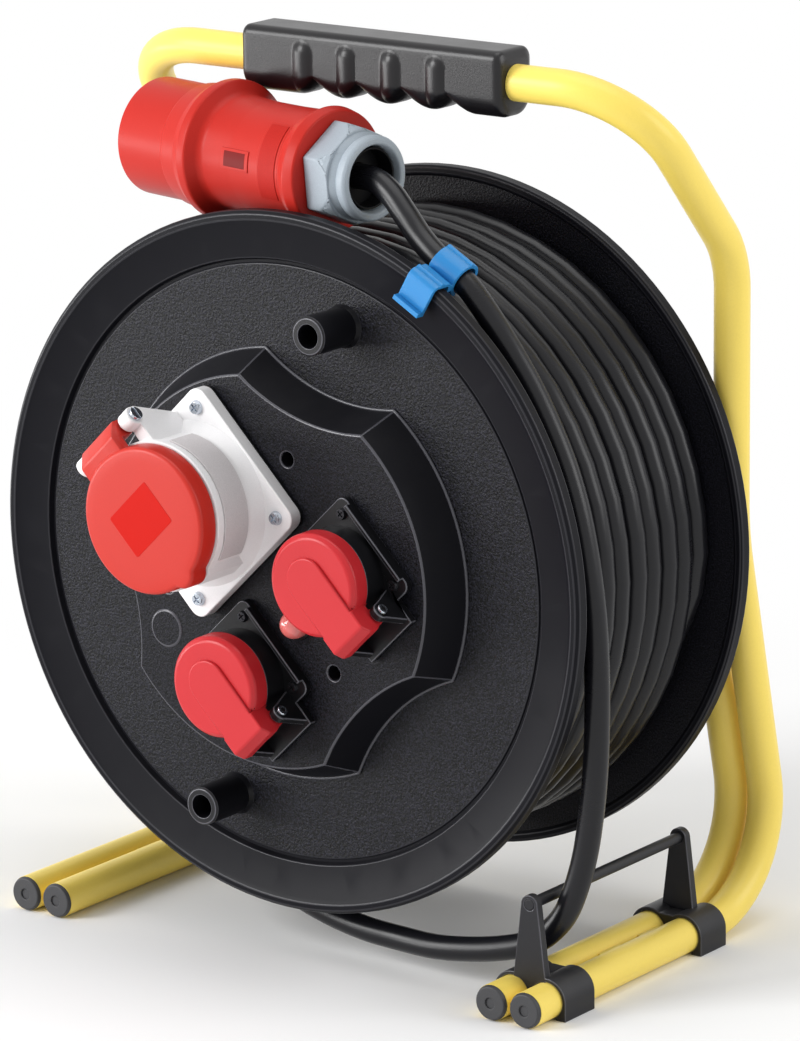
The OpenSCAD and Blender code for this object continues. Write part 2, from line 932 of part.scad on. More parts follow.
module cee_gasket() {
  color(black)
    on_drum()
      translate([0, cee_v, 0])
        difference() {
          rounded_plate(cee_flange, cee_flange, 6, panel_top, cee_seat);
          translate([0, 0, panel_top - 1])
            cylinder(r = cee_bore_r + 1.4, h = 4);
          four(cee_screw)
            cylinder(r = 2, h = 40);
        }
}

module cee_housing() {
  ear_in = 13.2;
  ear_out = 20;
  color(light_grey)
    on_drum()
      difference() {
        union() {
          translate([0, cee_v, 0]) {
            rounded_plate(cee_flange, cee_flange, 6, cee_seat, cee_flange_top);
            translate([0, 0, cee_flange_top - eps])
              cylinder(r1 = cee_body_r + 4.4, r2 = cee_body_r, h = 6);
            translate([0, 0, cee_flange_top - eps])
              cylinder(r = cee_body_r, h = cee_mouth - cee_flange_top);
            translate([0, 0, cee_mouth - 4])
              cylinder(r = cee_body_r + 0.7, h = 4);
            translate([0, 0, cee_flange_top - eps])
              linear_extrude(height = cee_mouth - cee_flange_top)
                polygon([
                  [-9, 6 - cee_body_r], [-8.8, 2.8 - cee_body_r], [-3.6, -cee_body_r - 2],
                  [3.6, -cee_body_r - 2], [8.8, 2.8 - cee_body_r], [9, 6 - cee_body_r]]);
          }
          for (s = [0, 1])
            mirror([s, 0, 0]) {
              along_x(ear_in, ear_out)
                polygon([
                  [cee_v + 20, cee_flange_top - 2], [cee_v + 36, cee_flange_top - 2],
                  [cee_v + 36, cee_flange_top + 1.5], [cee_hinge_v + 4.4, cee_hinge_w - 3],
                  [cee_hinge_v + 4.4, cee_hinge_w], [cee_hinge_v - 4.4, cee_hinge_w],
                  [cee_hinge_v - 4.6, cee_hinge_w - 0.6], [cee_v + 20, cee_mouth - 2.2]]);
              along_x(ear_in, ear_out)
                translate([cee_hinge_v, cee_hinge_w])
                  circle(r = 4.4);
            }
        }
        translate([0, cee_v, cee_seat + 3.3])
          cylinder(r = cee_bore_r, h = 60);
        translate([0, cee_v, cee_seat - 1])
          cylinder(r = 22.6, h = 20);
        translate([0, cee_v, 0])
          four(cee_screw)
            cylinder(r = 2, h = 40);
        translate([-2.5, cee_v - cee_bore_r - 1.6, cee_seat + 6])
          cube([5, 8, 60]);
        along_x(-ear_out - 2, ear_out + 2)
          translate([cee_hinge_v, cee_hinge_w])
            circle(r = cee_pin_r + fit, $fn = 32);
      }
}

module pin_circle() {
  for (k = [0:4])
    rotate([0, 0, -90 + 72 * k])
      translate([cee_pin_circle, 0, 0])
        children();
}

module cee_contact_carrier() {
  color(black)
    on_drum()
      translate([0, cee_v, 0])
        difference() {
          translate([0, 0, -30])
            cylinder(r = 22.5, h = cee_mouth - 5 + 30);
          pin_circle()
            translate([0, 0, -31])
              cylinder(r = 3.4, h = cee_mouth + 30);
        }
}

module cee_contact_sleeves() {
  color(brass)
    on_drum()
      translate([0, cee_v, 0])
        pin_circle()
          difference() {
            translate([0, 0, -34])
              cylinder(r = 3.3, h = cee_mouth - 8 + 34);
            translate([0, 0, -4])
              cylinder(r = 2.6, h = cee_mouth);
          }
}

module cee_flange_screws() {
  color(steel)
    on_drum()
      translate([0, cee_v, cee_flange_top])
        four(cee_screw)
          pan_screw(3.2, 2, 1.9, cee_flange_top - panel_top + panel_wall + 3);
}

module cee_hinge_pin() {
  color(steel)
    on_drum()
      translate([0, cee_hinge_v, cee_hinge_w])
        rotate([0, 90, 0])
          difference() {
            union() {
              translate([0, 0, -20.6])
                cylinder(r = cee_pin_r, h = 41);
              translate([0, 0, 20.1])
                cylinder(r = 3.1, h = 1.6);
            }
            translate([-0.4, -5, 21])
              cube([0.8, 10, 2]);
          }
}

module cee_lid_spring() {
  color(steel)
    on_drum()
      translate([-3.4, cee_hinge_v, cee_hinge_w])
        rotate([0, 90, 0])
          ring(cee_pin_r + 1.5, cee_pin_r + 0.4, 0, 6.8);
}

module cee_lid() {
  bottom = cee_mouth + 0.7;
  color(red)
    on_drum()
      difference() {
        union() {
          translate([0, cee_v, 0])
            rotate_extrude($fn = 96)
              polygon([
                [0, lid_face - 3.6], [27.4, lid_face - 3.6], [27.4, bottom],
                [28.5, bottom], [28.5, bottom + 1.2], [31, bottom + 1.2],
                [31, bottom], [cee_body_r - 0.2, bottom],
                [cee_body_r - 0.2, lid_face - 1.8], [cee_body_r - 2, lid_face],
                [0, lid_face]]);
          along_x(-12, 12)
            polygon([
              [cee_v + 29.5, bottom + 1.8], [cee_v + 29.5, lid_face - 1.4],
              [cee_hinge_v - 3.4, lid_face - 1.4], [cee_hinge_v + 3.4, cee_hinge_w + 6],
              [cee_hinge_v + 4.3, cee_hinge_w], [cee_hinge_v - 4.3, cee_hinge_w],
              [cee_hinge_v - 4.3, bottom + 1.8]]);
          along_x(-12, 12)
            translate([cee_hinge_v, cee_hinge_w])
              circle(r = 4.3);
          translate([0, cee_v - cee_body_r + 5.6, bottom + 1])
            cylinder(r = 8.2, h = cee_lid_t - 4);
        }
        translate([-0.8, cee_v + 1, lid_face - 0.6])
          rounded_plate(26, 20, 1.5, 0, 2);
        translate([-4, cee_hinge_v - 5, cee_hinge_w - 5])
          cube([8, 12, 9]);
        along_x(-13, 13)
          translate([cee_hinge_v, cee_hinge_w])
            circle(r = cee_pin_r + fit, $fn = 32);
      }
}

module cee_lid_gasket() {
  color(black)
    on_drum()
      translate([0, cee_v, 0])
        ring(30.6, 28.9, cee_mouth + 0.3, cee_mouth + 1.5);
}

// ---- earthed outlets ----

sk_top = panel_top + 4;

module at_socket(side) {
  on_drum()
    translate([side * sk_u, sk_v, 0])
      children();
}

module socket_housing(side) {
  ear_in = 11;
  ear_out = 14.5;
  color(black)
    at_socket(side)
      difference() {
        union() {
          rounded_plate(sk_flange, sk_flange, 4, panel_top, sk_top);
          translate([-15, -36, panel_top])
            cube([30, 14, sk_top - panel_top]);
          translate([0, 0, panel_top])
            cylinder(r = sk_body_r, h = sk_mouth - panel_top);
          translate([0, 0, -10])
            cylinder(r = sk_bore_r + 1, h = panel_top + 10 + eps);
          translate([sk_flange / 2 - 2, -20, sk_top - eps])
            cube([2, 40, 2.4]);
          for (s = [0, 1])
            mirror([s, 0, 0]) {
              along_x(ear_in, ear_out)
                polygon([
                  [sk_hinge_v - 8, sk_top - eps], [sk_hinge_v + 8, sk_top - eps],
                  [sk_hinge_v + 3.8, sk_hinge_w], [sk_hinge_v - 3.8, sk_hinge_w]]);
              along_x(ear_in, ear_out)
                translate([sk_hinge_v, sk_hinge_w])
                  circle(r = 3.8);
            }
        }
        translate([0, 0, -8])
          cylinder(r = sk_bore_r, h = 60);
        translate([0, 0, -11])
          cylinder(r = 4, h = 4);
        four(sk_screw)
          translate([0, 0, 10])
            cylinder(r = 1.7, h = 20);
        along_x(-ear_out - 2, ear_out + 2)
          translate([sk_hinge_v, sk_hinge_w])
            circle(r = sk_pin_r + fit, $fn = 32);
      }
}

module socket_insert(side) {
  color(soft_black)
    at_socket(side)
      difference() {
        translate([0, 0, -7.9])
          cylinder(r = sk_bore_r - 0.2, h = 19.9);
        for (s = [-1, 1])
          translate([s * 9.5, 0, -6])
            cylinder(r = 3.2, h = 20);
      }
}

module socket_contacts(side) {
  color(brass)
    at_socket(side) {
      for (s = [-1, 1])
        translate([s * 9.5, 0, 0])
          difference() {
            translate([0, 0, -6])
              cylinder(r = 3.1, h = 15);
            translate([0, 0, -4])
              cylinder(r = 2.5, h = 15);
          }
      for (s = [-1, 1])
        translate([-3, s * (sk_bore_r - 1.1) - 0.4, 12])
          cube([6, 0.8, 11]);
    }
}

module socket_screws(side) {
  color(steel)
    at_socket(side)
      translate([0, 0, sk_top])
        four(sk_screw)
          pan_screw(2.6, 1.6, 1.6, sk_top - panel_top + panel_wall + 2);
}

module socket_hinge_pin(side) {
  color(steel)
    at_socket(side)
      translate([0, sk_hinge_v, sk_hinge_w])
        rotate([0, 90, 0]) {
          translate([0, 0, -14.9])
            cylinder(r = sk_pin_r, h = 29.6);
          translate([0, 0, 14.6])
            cylinder(r = 2.4, h = 1.4);
        }
}

module socket_spring(side) {
  color(steel)
    at_socket(side)
      translate([-2.9, sk_hinge_v, sk_hinge_w])
        rotate([0, 90, 0])
          ring(sk_pin_r + 1.3, sk_pin_r + 0.4, 0, 5.8);
}

module socket_lid(side) {
  low = sk_mouth + 0.6;
  face = low + 10;
  strap = face + 1.5;
  lid_r = sk_body_r + 1;
  color(red)
    at_socket(side)
      difference() {
        union() {
          rotate_extrude($fn = 96)
            polygon([
              [0, face - 2.6], [sk_bore_r, face - 2.6], [sk_bore_r, low],
              [lid_r, low], [lid_r, face - 2], [lid_r - 2, face], [0, face]]);
          translate([0, 3, face - 1])
            cylinder(r = 10, h = strap - face + 1);
          translate([-10, sk_hinge_v + 2, face - 1])
            cube([20, 1 - sk_hinge_v, strap - face + 1]);
          along_x(-10.4, 10.4)
            polygon([
              [sk_hinge_v + 6.2, low + 0.4], [sk_hinge_v + 6.2, strap],
              [sk_hinge_v - 2.5, strap], [sk_hinge_v - 6, strap - 3.5],
              [sk_hinge_v - 6, low + 3], [sk_hinge_v - 4, sk_hinge_w],
              [sk_hinge_v + 4, sk_hinge_w], [sk_hinge_v + 4, low + 0.4]]);
          along_x(-10.4, 10.4)
            translate([sk_hinge_v, sk_hinge_w])
              circle(r = 4);
        }
        translate([-3.5, sk_hinge_v - 7, sk_hinge_w - 5])
          cube([7, 11.4, 9]);
        along_x(-12, 12)
          translate([sk_hinge_v, sk_hinge_w])
            circle(r = sk_pin_r + fit, $fn = 32);
      }
}

// ---- free cable, clip and plug ----

// smooth curve through the route's points, steps between neighbours
function spline(p, i, t) =
  let (
    a = p[max(i - 1, 0)],
    b = p[i],
    c = p[i + 1],
    d = p[min(i + 2, len(p) - 1)])
  0.5 * (2 * b + (c - a) * t + (2 * a - 5 * b + 4 * c - d) * t * t
    + (3 * b - a - 3 * c + d) * t * t * t);
cord_line = concat(
  [for (i = [0:len(route) - 2], s = [0, 0.5]) spline(route, i, s)],
  [route[len(route) - 1]]);
function line_length(p) = [for (i = 0, s = 0; i < len(p); i = i + 1,
  s = s + (i < len(p) ? norm(p[i] - p[i - 1]) : 0)) s][len(p) - 1];
echo(free_cable_length = line_length(cord_line));

module cord_free() {
  color(black)
    on_floor()
      swept_tube(cord_line, cable_d / 2, 10, [0, 1, 0]);
}

// clip: one arc over the rim, one arc round the cable, beside each other
module cable_clip() {
  clip_dir = 60;
  clip_len = 14.5;
  rim_c = [-disc_back / 2, drum_r - 6.5];
  rim_gap = 0.8;
  rim_hold = -disc_back / 2 + rim_gap;
  wall = 1.7;
  cable_c = [19, drum_r + 1.5];
  cable_ri = cable_d / 2 + 0.8;
  cable_ro = cable_ri + 1.8;
  color(blue)
    on_floor()
      translate([0, 0, axis_h])
        rotate([0, 90 - clip_dir, 0])
          translate([-clip_len / 2, 0, 0])
            rotate([90, 0, 90])
              linear_extrude(height = clip_len)
                difference() {
                  union() {
                    rim_channel(rim_c, rim_hold + wall, drum_r + rim_gap + wall - rim_c[1], 3.4);
                    translate(cable_c)
                      circle(r = cable_ro);
                    translate(rim_c + [rim_hold, 4])
                      square([5.5, 3.4]);
                    translate(rim_c + [-rim_hold - wall - 3, -6.5])
                      square([3.4, 2.2]);
                    translate(rim_c + [-1.2, drum_r + rim_gap + wall - rim_c[1] - 0.6])
                      circle(r = 1.5);
                    translate(cable_c + [0.6, cable_ro - 0.7])
                      circle(r = 1.4);
                  }
                  rim_channel(rim_c, rim_hold, drum_r + rim_gap - rim_c[1], 1.7);
                  translate(cable_c)
                    circle(r = cable_ri);
                  translate(cable_c + [-2, -cable_ro - 2])
                    square([12, cable_ro + 0.5]);
                }
}

// outline of a channel: flat sides, round upper corners
module rim_channel(c, half, top, r) {
  low = 6.5;
  translate(c + [-half, -low])
    square([2 * half, low + top - r]);
  translate(c + [-half + r, 0])
    square([2 * (half - r), top]);
  for (side = [-1, 1])
    translate(c + [side * (half - r), top - r])
      circle(r = r);
}

// hexagon nut with a flared mouth that the cable leaves through
module gland_nut() {
  color(light_grey)
    on_plug()
      rotate([0, 0, 34])
        difference() {
          union() {
            intersection() {
              translate([0, 0, 9])
                cylinder(r = 22.8, h = 13.8, $fn = 6);
              translate([0, 0, 9])
                cylinder(r1 = 20.2, r2 = 26, h = 13.8);
            }
            rotate_extrude()
              polygon([
                [0, 0], [17.6, 0], [18.6, 1.4], [18.6, 4.4], [17.2, 6.4], [19.4, 9.5], [0, 9.5]]);
          }
          rotate_extrude()
            polygon([
              [0, -1], [15.8, -1], [14.6, 1], [13.4, 9], [13.4, 24], [0, 24]]);
        }
}

module gland_seal() {
  color(black)
    on_plug()
      ring(13.2, cable_d / 2 + 0.1, 11, 21.5);
}

module plug_housing() {
  body_end = plug_len - 47;
  color(red)
    on_plug()
      rotate_extrude($fn = 96)
        polygon([
          [8.4, 23], [26.8, 23], [27.8, 24], [27.8, 28.6], [26.6, 30.4], [25, 33.5],
          [24.5, 50], [24.3, 66], [25, body_end - 4], [26.2, body_end - 2.4], [31, body_end - 2.4],
          [31, body_end + 4], [28.4, body_end + 6], [27, body_end + 17], [shroud_r, body_end + 18],
          [shroud_r, plug_len],
          [shroud_r - shroud_wall, plug_len], [shroud_r - shroud_wall, body_end + 6],
          [21, body_end + 2], [21, 40], [8.4, 34]]);
}

module plug_pin_carrier() {
  body_end = plug_len - 47;
  color(black)
    on_plug()
      difference() {
        union() {
          translate([0, 0, body_end - 28])
            cylinder(r = 20.8, h = 38);
          translate([0, 0, body_end + 6.4])
            cylinder(r = shroud_r - shroud_wall - 0.2, h = 3.6);
        }
        pin_circle()
          translate([0, 0, body_end - 30])
            cylinder(r = 2.6, h = 50);
      }
}

module plug_pins() {
  body_end = plug_len - 47;
  color(brass)
    on_plug()
      pin_circle() {
        translate([0, 0, body_end - 24])
          cylinder(r = 2.5, h = 60);
        translate([0, 0, body_end + 36 - eps])
          cylinder(r1 = 2.5, r2 = 1.5, h = 1.5);
      }
}

frame_outer_tube();
frame_inner_tube();
tube_lugs();
foot_caps();
hand_grip();
guide_clamp_front();
guide_clamp_rear();
guide_rod();
axle();
axle_saddles();
axle_washer();
axle_nut();
axle_front_washer();
retaining_ring();
front_flange();
rear_flange();
drum_core();
core_screws_front();
core_screws_rear();
hub_bush_front();
hub_bush_rear();
winding_posts();
cable_winding_core();
cable_winding();
cable_entry_clamp();
socket_panel();
panel_screws();
lamp_holder();
lamp_lens();
terminal_block();
cee_gasket();
cee_housing();
cee_contact_carrier();
cee_contact_sleeves();
cee_flange_screws();
cee_hinge_pin();
cee_lid_spring();
cee_lid();
cee_lid_gasket();
socket_housing(-1);  // socket_a_housing
socket_insert(-1);  // socket_a_insert
socket_contacts(-1);  // socket_a_contacts
socket_screws(-1);  // socket_a_screws
socket_hinge_pin(-1);  // socket_a_hinge_pin
socket_spring(-1);  // socket_a_spring
socket_lid(-1);  // socket_a_lid
socket_housing(1);  // socket_b_housing
socket_insert(1);  // socket_b_insert
socket_contacts(1);  // socket_b_contacts
socket_screws(1);  // socket_b_screws
socket_hinge_pin(1);  // socket_b_hinge_pin
socket_spring(1);  // socket_b_spring
socket_lid(1);  // socket_b_lid
cord_free();
cable_clip();
gland_nut();
gland_seal();
plug_housing();
plug_pin_carrier();
plug_pins();
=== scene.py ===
# %% [markdown]
# # Dressing an extension cord reel
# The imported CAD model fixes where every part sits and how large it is. This
# lesson adds what the eye finds on the real thing: rounded moulding edges,
# grained plastic, powder coat and wound cable, in plain studio light.
# The frame is loaded first, because every later piece is built in its place
# and rides on one of its moving bodies.

# %% Load the fixed frame
import json
import math

import bmesh
import bpy
from mathutils import Matrix, Vector
from mathutils.geometry import interpolate_bezier


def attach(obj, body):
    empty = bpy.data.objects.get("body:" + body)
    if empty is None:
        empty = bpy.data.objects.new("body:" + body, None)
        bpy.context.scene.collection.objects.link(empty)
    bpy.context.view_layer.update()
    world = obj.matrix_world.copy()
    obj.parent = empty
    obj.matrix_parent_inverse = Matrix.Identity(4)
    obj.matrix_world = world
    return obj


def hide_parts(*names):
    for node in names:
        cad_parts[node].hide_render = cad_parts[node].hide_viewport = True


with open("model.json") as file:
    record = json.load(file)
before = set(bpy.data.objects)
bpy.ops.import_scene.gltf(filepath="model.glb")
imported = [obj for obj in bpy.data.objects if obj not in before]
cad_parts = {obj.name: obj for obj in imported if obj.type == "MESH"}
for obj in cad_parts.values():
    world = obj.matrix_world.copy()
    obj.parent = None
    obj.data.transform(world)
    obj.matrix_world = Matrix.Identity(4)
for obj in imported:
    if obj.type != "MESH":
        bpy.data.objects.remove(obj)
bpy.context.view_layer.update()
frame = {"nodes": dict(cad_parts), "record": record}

body_of_node = {
    node: body
    for body, nodes in frame["record"]["behaviour"]["bodies"].items()
    for node in nodes
}

# %% [markdown]
# A drawing of the reel is in millimetres and in four small frames: the stand,
# the axle, the turned drum and the parked plug. A matrix for each one takes
# numbers from the drawing straight into the scene, so a detail on the drum is
# written where it lies on the drum, and never worked out by hand.

# %% Places on the reel, in millimetres
MM = 0.001
RIM_FACE_Y = -59.286
AXIS_HEIGHT = 178.0
DRUM_TURN = 44.5


def stand_point(x, y, z):
    """A point of the stand: x right, y behind the rim face, z over the floor."""
    return Vector((x, y + RIM_FACE_Y, z)) * MM


def turned(axis, degrees):
    return Matrix.Rotation(math.radians(degrees), 4, axis)


stand_place = Matrix.Translation(stand_point(0, 0, 0)) @ Matrix.Scale(MM, 4)
axle_place = (
    Matrix.Translation(stand_point(0, 0, AXIS_HEIGHT))
    @ turned("X", 90) @ Matrix.Scale(MM, 4))
drum_place = (
    Matrix.Translation(stand_point(0, 0, AXIS_HEIGHT))
    @ turned("Y", -DRUM_TURN) @ turned("X", 90) @ Matrix.Scale(MM, 4))
plug_place = (
    Matrix.Translation(stand_point(32, 27.6, 346.2))
    @ turned("Z", 170.6) @ turned("Y", 90 - 0.8) @ Matrix.Scale(MM, 4))
print("drum centre", [round(x, 4) for x in drum_place.translation])

# %% [markdown]
# ## Camera
# A long lens from well back keeps parallel tubes nearly parallel, as a
# catalogue would show them. The camera is set by its azimuth, elevation and a
# slight roll about a point just behind the drum face, which is easier to
# reason about than three Euler angles.

# %% Camera
SENSOR_WIDTH = 36.0
FOCAL_PIXELS, FRAME_PIXELS = 5499.4, 1041
camera_azimuth = math.radians(36.75)
camera_elevation = math.radians(14.48)
camera_roll = math.radians(-0.65)
camera_distance = 2.4058
camera_aim = stand_point(15.0, 65.0, AXIS_HEIGHT + 8.59)

look = Vector((
    -math.sin(camera_azimuth) * math.cos(camera_elevation),
    math.cos(camera_azimuth) * math.cos(camera_elevation),
    -math.sin(camera_elevation)))
level_right = Vector((math.cos(camera_azimuth), math.sin(camera_azimuth), 0))
level_up = level_right.cross(look)
roll_cos, roll_sin = math.cos(camera_roll), math.sin(camera_roll)
camera_right = roll_cos * level_right + roll_sin * level_up
camera_up = roll_cos * level_up - roll_sin * level_right

camera_data = bpy.data.cameras.new("reel_camera")
camera_data.sensor_width = SENSOR_WIDTH
camera_data.lens = SENSOR_WIDTH * FOCAL_PIXELS / FRAME_PIXELS
camera_data.clip_start = 0.1
camera_data.clip_end = 30
camera = bpy.data.objects.new("reel_camera", camera_data)
bpy.context.scene.collection.objects.link(camera)
camera.matrix_world = (
    Matrix.Translation(camera_aim - look * camera_distance)
    @ Matrix((camera_right, camera_up, -look)).transposed().to_4x4())
bpy.context.scene.camera = camera
print("lens", round(camera_data.lens, 1), "mm, camera at", camera.location[:])

# %% [markdown]
# ## Free cable
# The cable leaves the winding under the drum, runs over the foot tubes, climbs
# the right side of the rim, is held by a clip and ends in the plug's gland. A
# line of Bezier spans suits it: it is one smooth line of a fixed length, and
# its handles are a third of the way between neighbours, which makes every bend
# flow into the next. A curve object with a bevel would draw it too, but a mesh
# can be measured exactly, so a round skin is swept along the line. The frame of
# the sweep is carried on from ring to ring, which keeps it free of twist. Many
# pieces of the reel are rings joined into a skin, so that work and the last
# steps from mesh to piece are written once.

# %% Helpers: from a mesh under construction to a piece
def add_piece(name, mesh, body):
    """Link a mesh as a piece that rides on a body of the reel."""
    piece = bpy.data.objects.new(name, mesh)
    bpy.context.scene.collection.objects.link(piece)
    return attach(piece, body)


def piece_from(form, name, place, body, sharp=None, smooth=True):
    """Piece from a bmesh in mm; edges that turn by more than sharp degrees stay crisp."""
    bmesh.ops.recalc_face_normals(form, faces=form.faces)
    form.transform(place)
    mesh = bpy.data.meshes.new(name)
    form.to_mesh(mesh)
    form.free()
    if smooth:
        mesh.shade_smooth()
    if sharp:
        mesh.set_sharp_from_angle(angle=math.radians(sharp))
    return add_piece(name, mesh, body)


def skin(form, rings):
    """Join rings of vertices one after another, and close both ends with a cap."""
    count = len(rings[0])
    for a, b in zip(rings, rings[1:]):
        for k in range(count):
            j = (k + 1) % count
            form.faces.new((a[k], a[j], b[j], b[k]))
    form.faces.new(list(reversed(rings[0])))
    form.faces.new(rings[-1])


# %% Helpers: tube along a line, and the line itself
def swept(name, points, radius, sides, place, body):
    """Tube along points; place turns the points and the radius into metres."""
    form = bmesh.new()
    last = len(points) - 1
    rings = []
    side = None
    for i, point in enumerate(points):
        along = (points[min(i + 1, last)] - points[max(i - 1, 0)]).normalized()
        side = along.orthogonal() if side is None else side - along * side.dot(along)
        side.normalize()
        other = along.cross(side)
        rings.append([
            form.verts.new(point + radius * (
                side * math.cos(math.tau * k / sides) + other * math.sin(math.tau * k / sides)))
            for k in range(sides)])
    skin(form, rings)
    for ring in (rings[0], rings[-1]):
        for k in range(sides):
            form.edges.get((ring[k], ring[(k + 1) % sides])).smooth = False
    print(f"{name}: {len(points)} rings of {sides}")
    return piece_from(form, name, place, body)


def smooth_line(points, steps=8):
    """Points of one smooth line through a route, with handles along the chord."""
    line = [points[0]]
    last = len(points) - 1
    for i in range(last):
        start, end = points[i], points[i + 1]
        leave = (end - points[max(i - 1, 0)]) / 6
        arrive = (points[min(i + 2, last)] - start) / 6
        line += interpolate_bezier(start, start + leave, end - arrive, end, steps + 1)[1:]
    return line


# %% Free cable as one smooth tube
cable_radius = 5.5
cable_route = [
    (-45, 20, 40), (-28, 20, 30.3), (-10, 20, 22.5), (9, 19, 17.5), (29, 18, 14.6),
    (49, 18, 13.6), (68, 17, 14), (87, 17, 16.6), (104, 17, 20.5), (118, 17, 25.5),
    (128.5, 17.5, 33), (136.8, 18.5, 44.5), (143.2, 20, 64.5), (147.2, 20, 85),
    (149.6, 20, 107), (150.6, 20, 128), (150.6, 20, 151), (149.3, 20, 174),
    (146.2, 20, 196), (141.5, 20, 217), (135, 20, 236), (127, 20, 252.5),
    (117.5, 20, 268.5), (107, 19, 284), (97, 19, 296.5), (87, 19, 307.3),
    (78.3, 19, 313.5), (69.3, 19.4, 319.1), (60, 21.2, 325.6), (51, 23.2, 333.8),
    (42, 25.4, 341.2), (32, 27.5, 345.8), (19, 29.7, 346.2)]
cable_line = smooth_line([stand_point(*p) for p in cable_route])
free_cable = swept(
    "free_cable", cable_line, cable_radius * MM, 24, Matrix.Identity(4), "stand")
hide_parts("cord_free")
cable_length = sum((b - a).length for a, b in zip(cable_line, cable_line[1:]))
print("free cable", len(cable_route), "points,", round(cable_length, 4), "m")

# %% [markdown]
# ## Rounded mouldings
# No moulded edge is razor sharp: a tool leaves a radius of a few tenths of a
# millimetre, and that radius catches the light as a thin bright line. On several
# dark parts the rounded edges also get a lighter colour, a painted highlight that
# strengthens that line.
# The shape itself is already right in the CAD part, so each visible part is
# copied, its flat areas are merged into single faces, and a bevel modifier
# works on the outer edges only. Inner corners stay crisp, as they would where
# two faces of a mould meet.

# %% Helpers: bevel, and rounded copy of a part
FLAT_DEGREES = 0.3


def bevelled(piece, label, width, segments=2):
    """Add a bevel of width mm to a piece."""
    bevel = piece.modifiers.new(label, "BEVEL")
    bevel.width = width * MM
    bevel.segments = segments
    return bevel


def rounded(node, width=0.5, segments=2, crease=24, weld=0.002, spare=None):
    """Copy of a CAD node, outer edges rounded by width in mm; it stands for the node.

    spare(point) says, for a point on the drum's face in mm, where edges stay sharp.
    """
    to_drum = drum_place.inverted()
    form = bmesh.new()
    form.from_mesh(frame["nodes"][node].data)
    bmesh.ops.remove_doubles(form, verts=form.verts, dist=weld * MM)
    bmesh.ops.dissolve_limit(
        form, angle_limit=math.radians(FLAT_DEGREES), verts=form.verts, edges=form.edges)
    weight = form.edges.layers.float.new("bevel_weight_edge")
    limit = math.radians(crease)
    outer = 0
    for edge in form.edges:
        if len(edge.link_faces) != 2 or edge.calc_face_angle(0.0) <= limit:
            continue
        middle = to_drum @ ((edge.verts[0].co + edge.verts[1].co) / 2)
        if edge.is_convex and not (spare and spare(middle)):
            edge[weight] = 1.0
            outer += 1
        else:
            edge.smooth = False
    mesh = bpy.data.meshes.new(node + "_form")
    form.to_mesh(mesh)
    form.free()
    for stale in ("custom_normal", "sharp_face"):
        if stale in mesh.attributes:
            mesh.attributes.remove(mesh.attributes[stale])
    mesh.shade_smooth()
    piece = add_piece(node + "_form", mesh, body_of_node[node])
    bevel = bevelled(piece, "moulded_edges", width, segments)
    bevel.limit_method = "WEIGHT"
    bevel.use_clamp_overlap = False
    bevel.harden_normals = True
    bevel.miter_outer = "MITER_ARC"
    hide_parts(node)
    print(f"{node}: {len(mesh.polygons)} faces, {outer} outer edges at {width} mm")
    return piece


# %% [markdown]
# ## Plug, gland nut, seal and clip
# These sit on the free cable, so they are made with it. The housing is a turned
# shape with a wide collar; the nut is a hexagon whose corners are chamfered,
# turned a little because nobody stops tightening at a round angle; the clip is a
# short strip of springy plastic. A black sleeve lines the nut's mouth: partly
# rubber seal, partly painted shade for the depth of the mouth. A bare pad in a
# low rim takes the place of the moulded inscriptions on the housing's side, and
# a small window lies beside it, its dark red painted shade of a small recess.

# %% Helper: plate that follows a round wall
def wall_plate(name, place, centre, radius, angles, heights, thickness, body, rounding=0.2):
    """Low pad on a round wall: angles in degrees, heights along the wall, in mm."""
    form = bmesh.new()
    columns, rows, sunk = 24, 3, 0.3
    grid = []
    for i in range(columns + 1):
        a = math.radians(angles[0] + (angles[1] - angles[0]) * i / columns)
        ray = Vector((math.cos(a), math.sin(a), 0))
        for k in range(rows + 1):
            h = heights[0] + (heights[1] - heights[0]) * k / rows
            base = Vector((centre[0], centre[1], h))
            grid.append((
                form.verts.new(base + ray * (radius - sunk)),
                form.verts.new(base + ray * (radius + thickness))))
    span = rows + 1
    for i in range(columns):
        for k in range(rows):
            a, b = i * span + k, (i + 1) * span + k
            form.faces.new((grid[a][1], grid[b][1], grid[b + 1][1], grid[a + 1][1]))
            form.faces.new((grid[a][0], grid[a + 1][0], grid[b + 1][0], grid[b][0]))
    for i in range(columns):
        for k in (0, rows):
            a, b = grid[i * span + k], grid[(i + 1) * span + k]
            form.faces.new((a[0], b[0], b[1], a[1]))
    for k in range(rows):
        for i in (0, columns):
            a, b = grid[i * span + k], grid[i * span + k + 1]
            form.faces.new((a[0], a[1], b[1], b[0]))
    piece = piece_from(form, name, place, body)
    bevel = bevelled(piece, "soft_edges", rounding)
    bevel.angle_limit = math.radians(50)
    bevel.harden_normals = True
    return piece


# %% Helpers: filleted profile and turned shape
def filleted(corners, steps=6):
    """Points of an outline whose corners (x, y, radius) are rounded, in mm."""
    points = []
    for i, (x, y, radius) in enumerate(corners):
        here = Vector((x, y))
        before = Vector(corners[i - 1][:2]) - here
        after = Vector(corners[(i + 1) % len(corners)][:2]) - here
        half = before.angle(after) / 2
        if radius <= 0 or half > math.radians(89):
            points.append(here)
            continue
        cut = min(radius / math.tan(half), 0.45 * before.length, 0.45 * after.length)
        radius = cut * math.tan(half)
        middle = here + (before.normalized() + after.normalized()).normalized() * (
            radius / math.sin(half))
        start = here + before.normalized() * cut - middle
        end = here + after.normalized() * cut - middle
        for k in range(steps + 1):
            points.append(middle + start.lerp(end, k / steps).normalized() * radius)
    return points


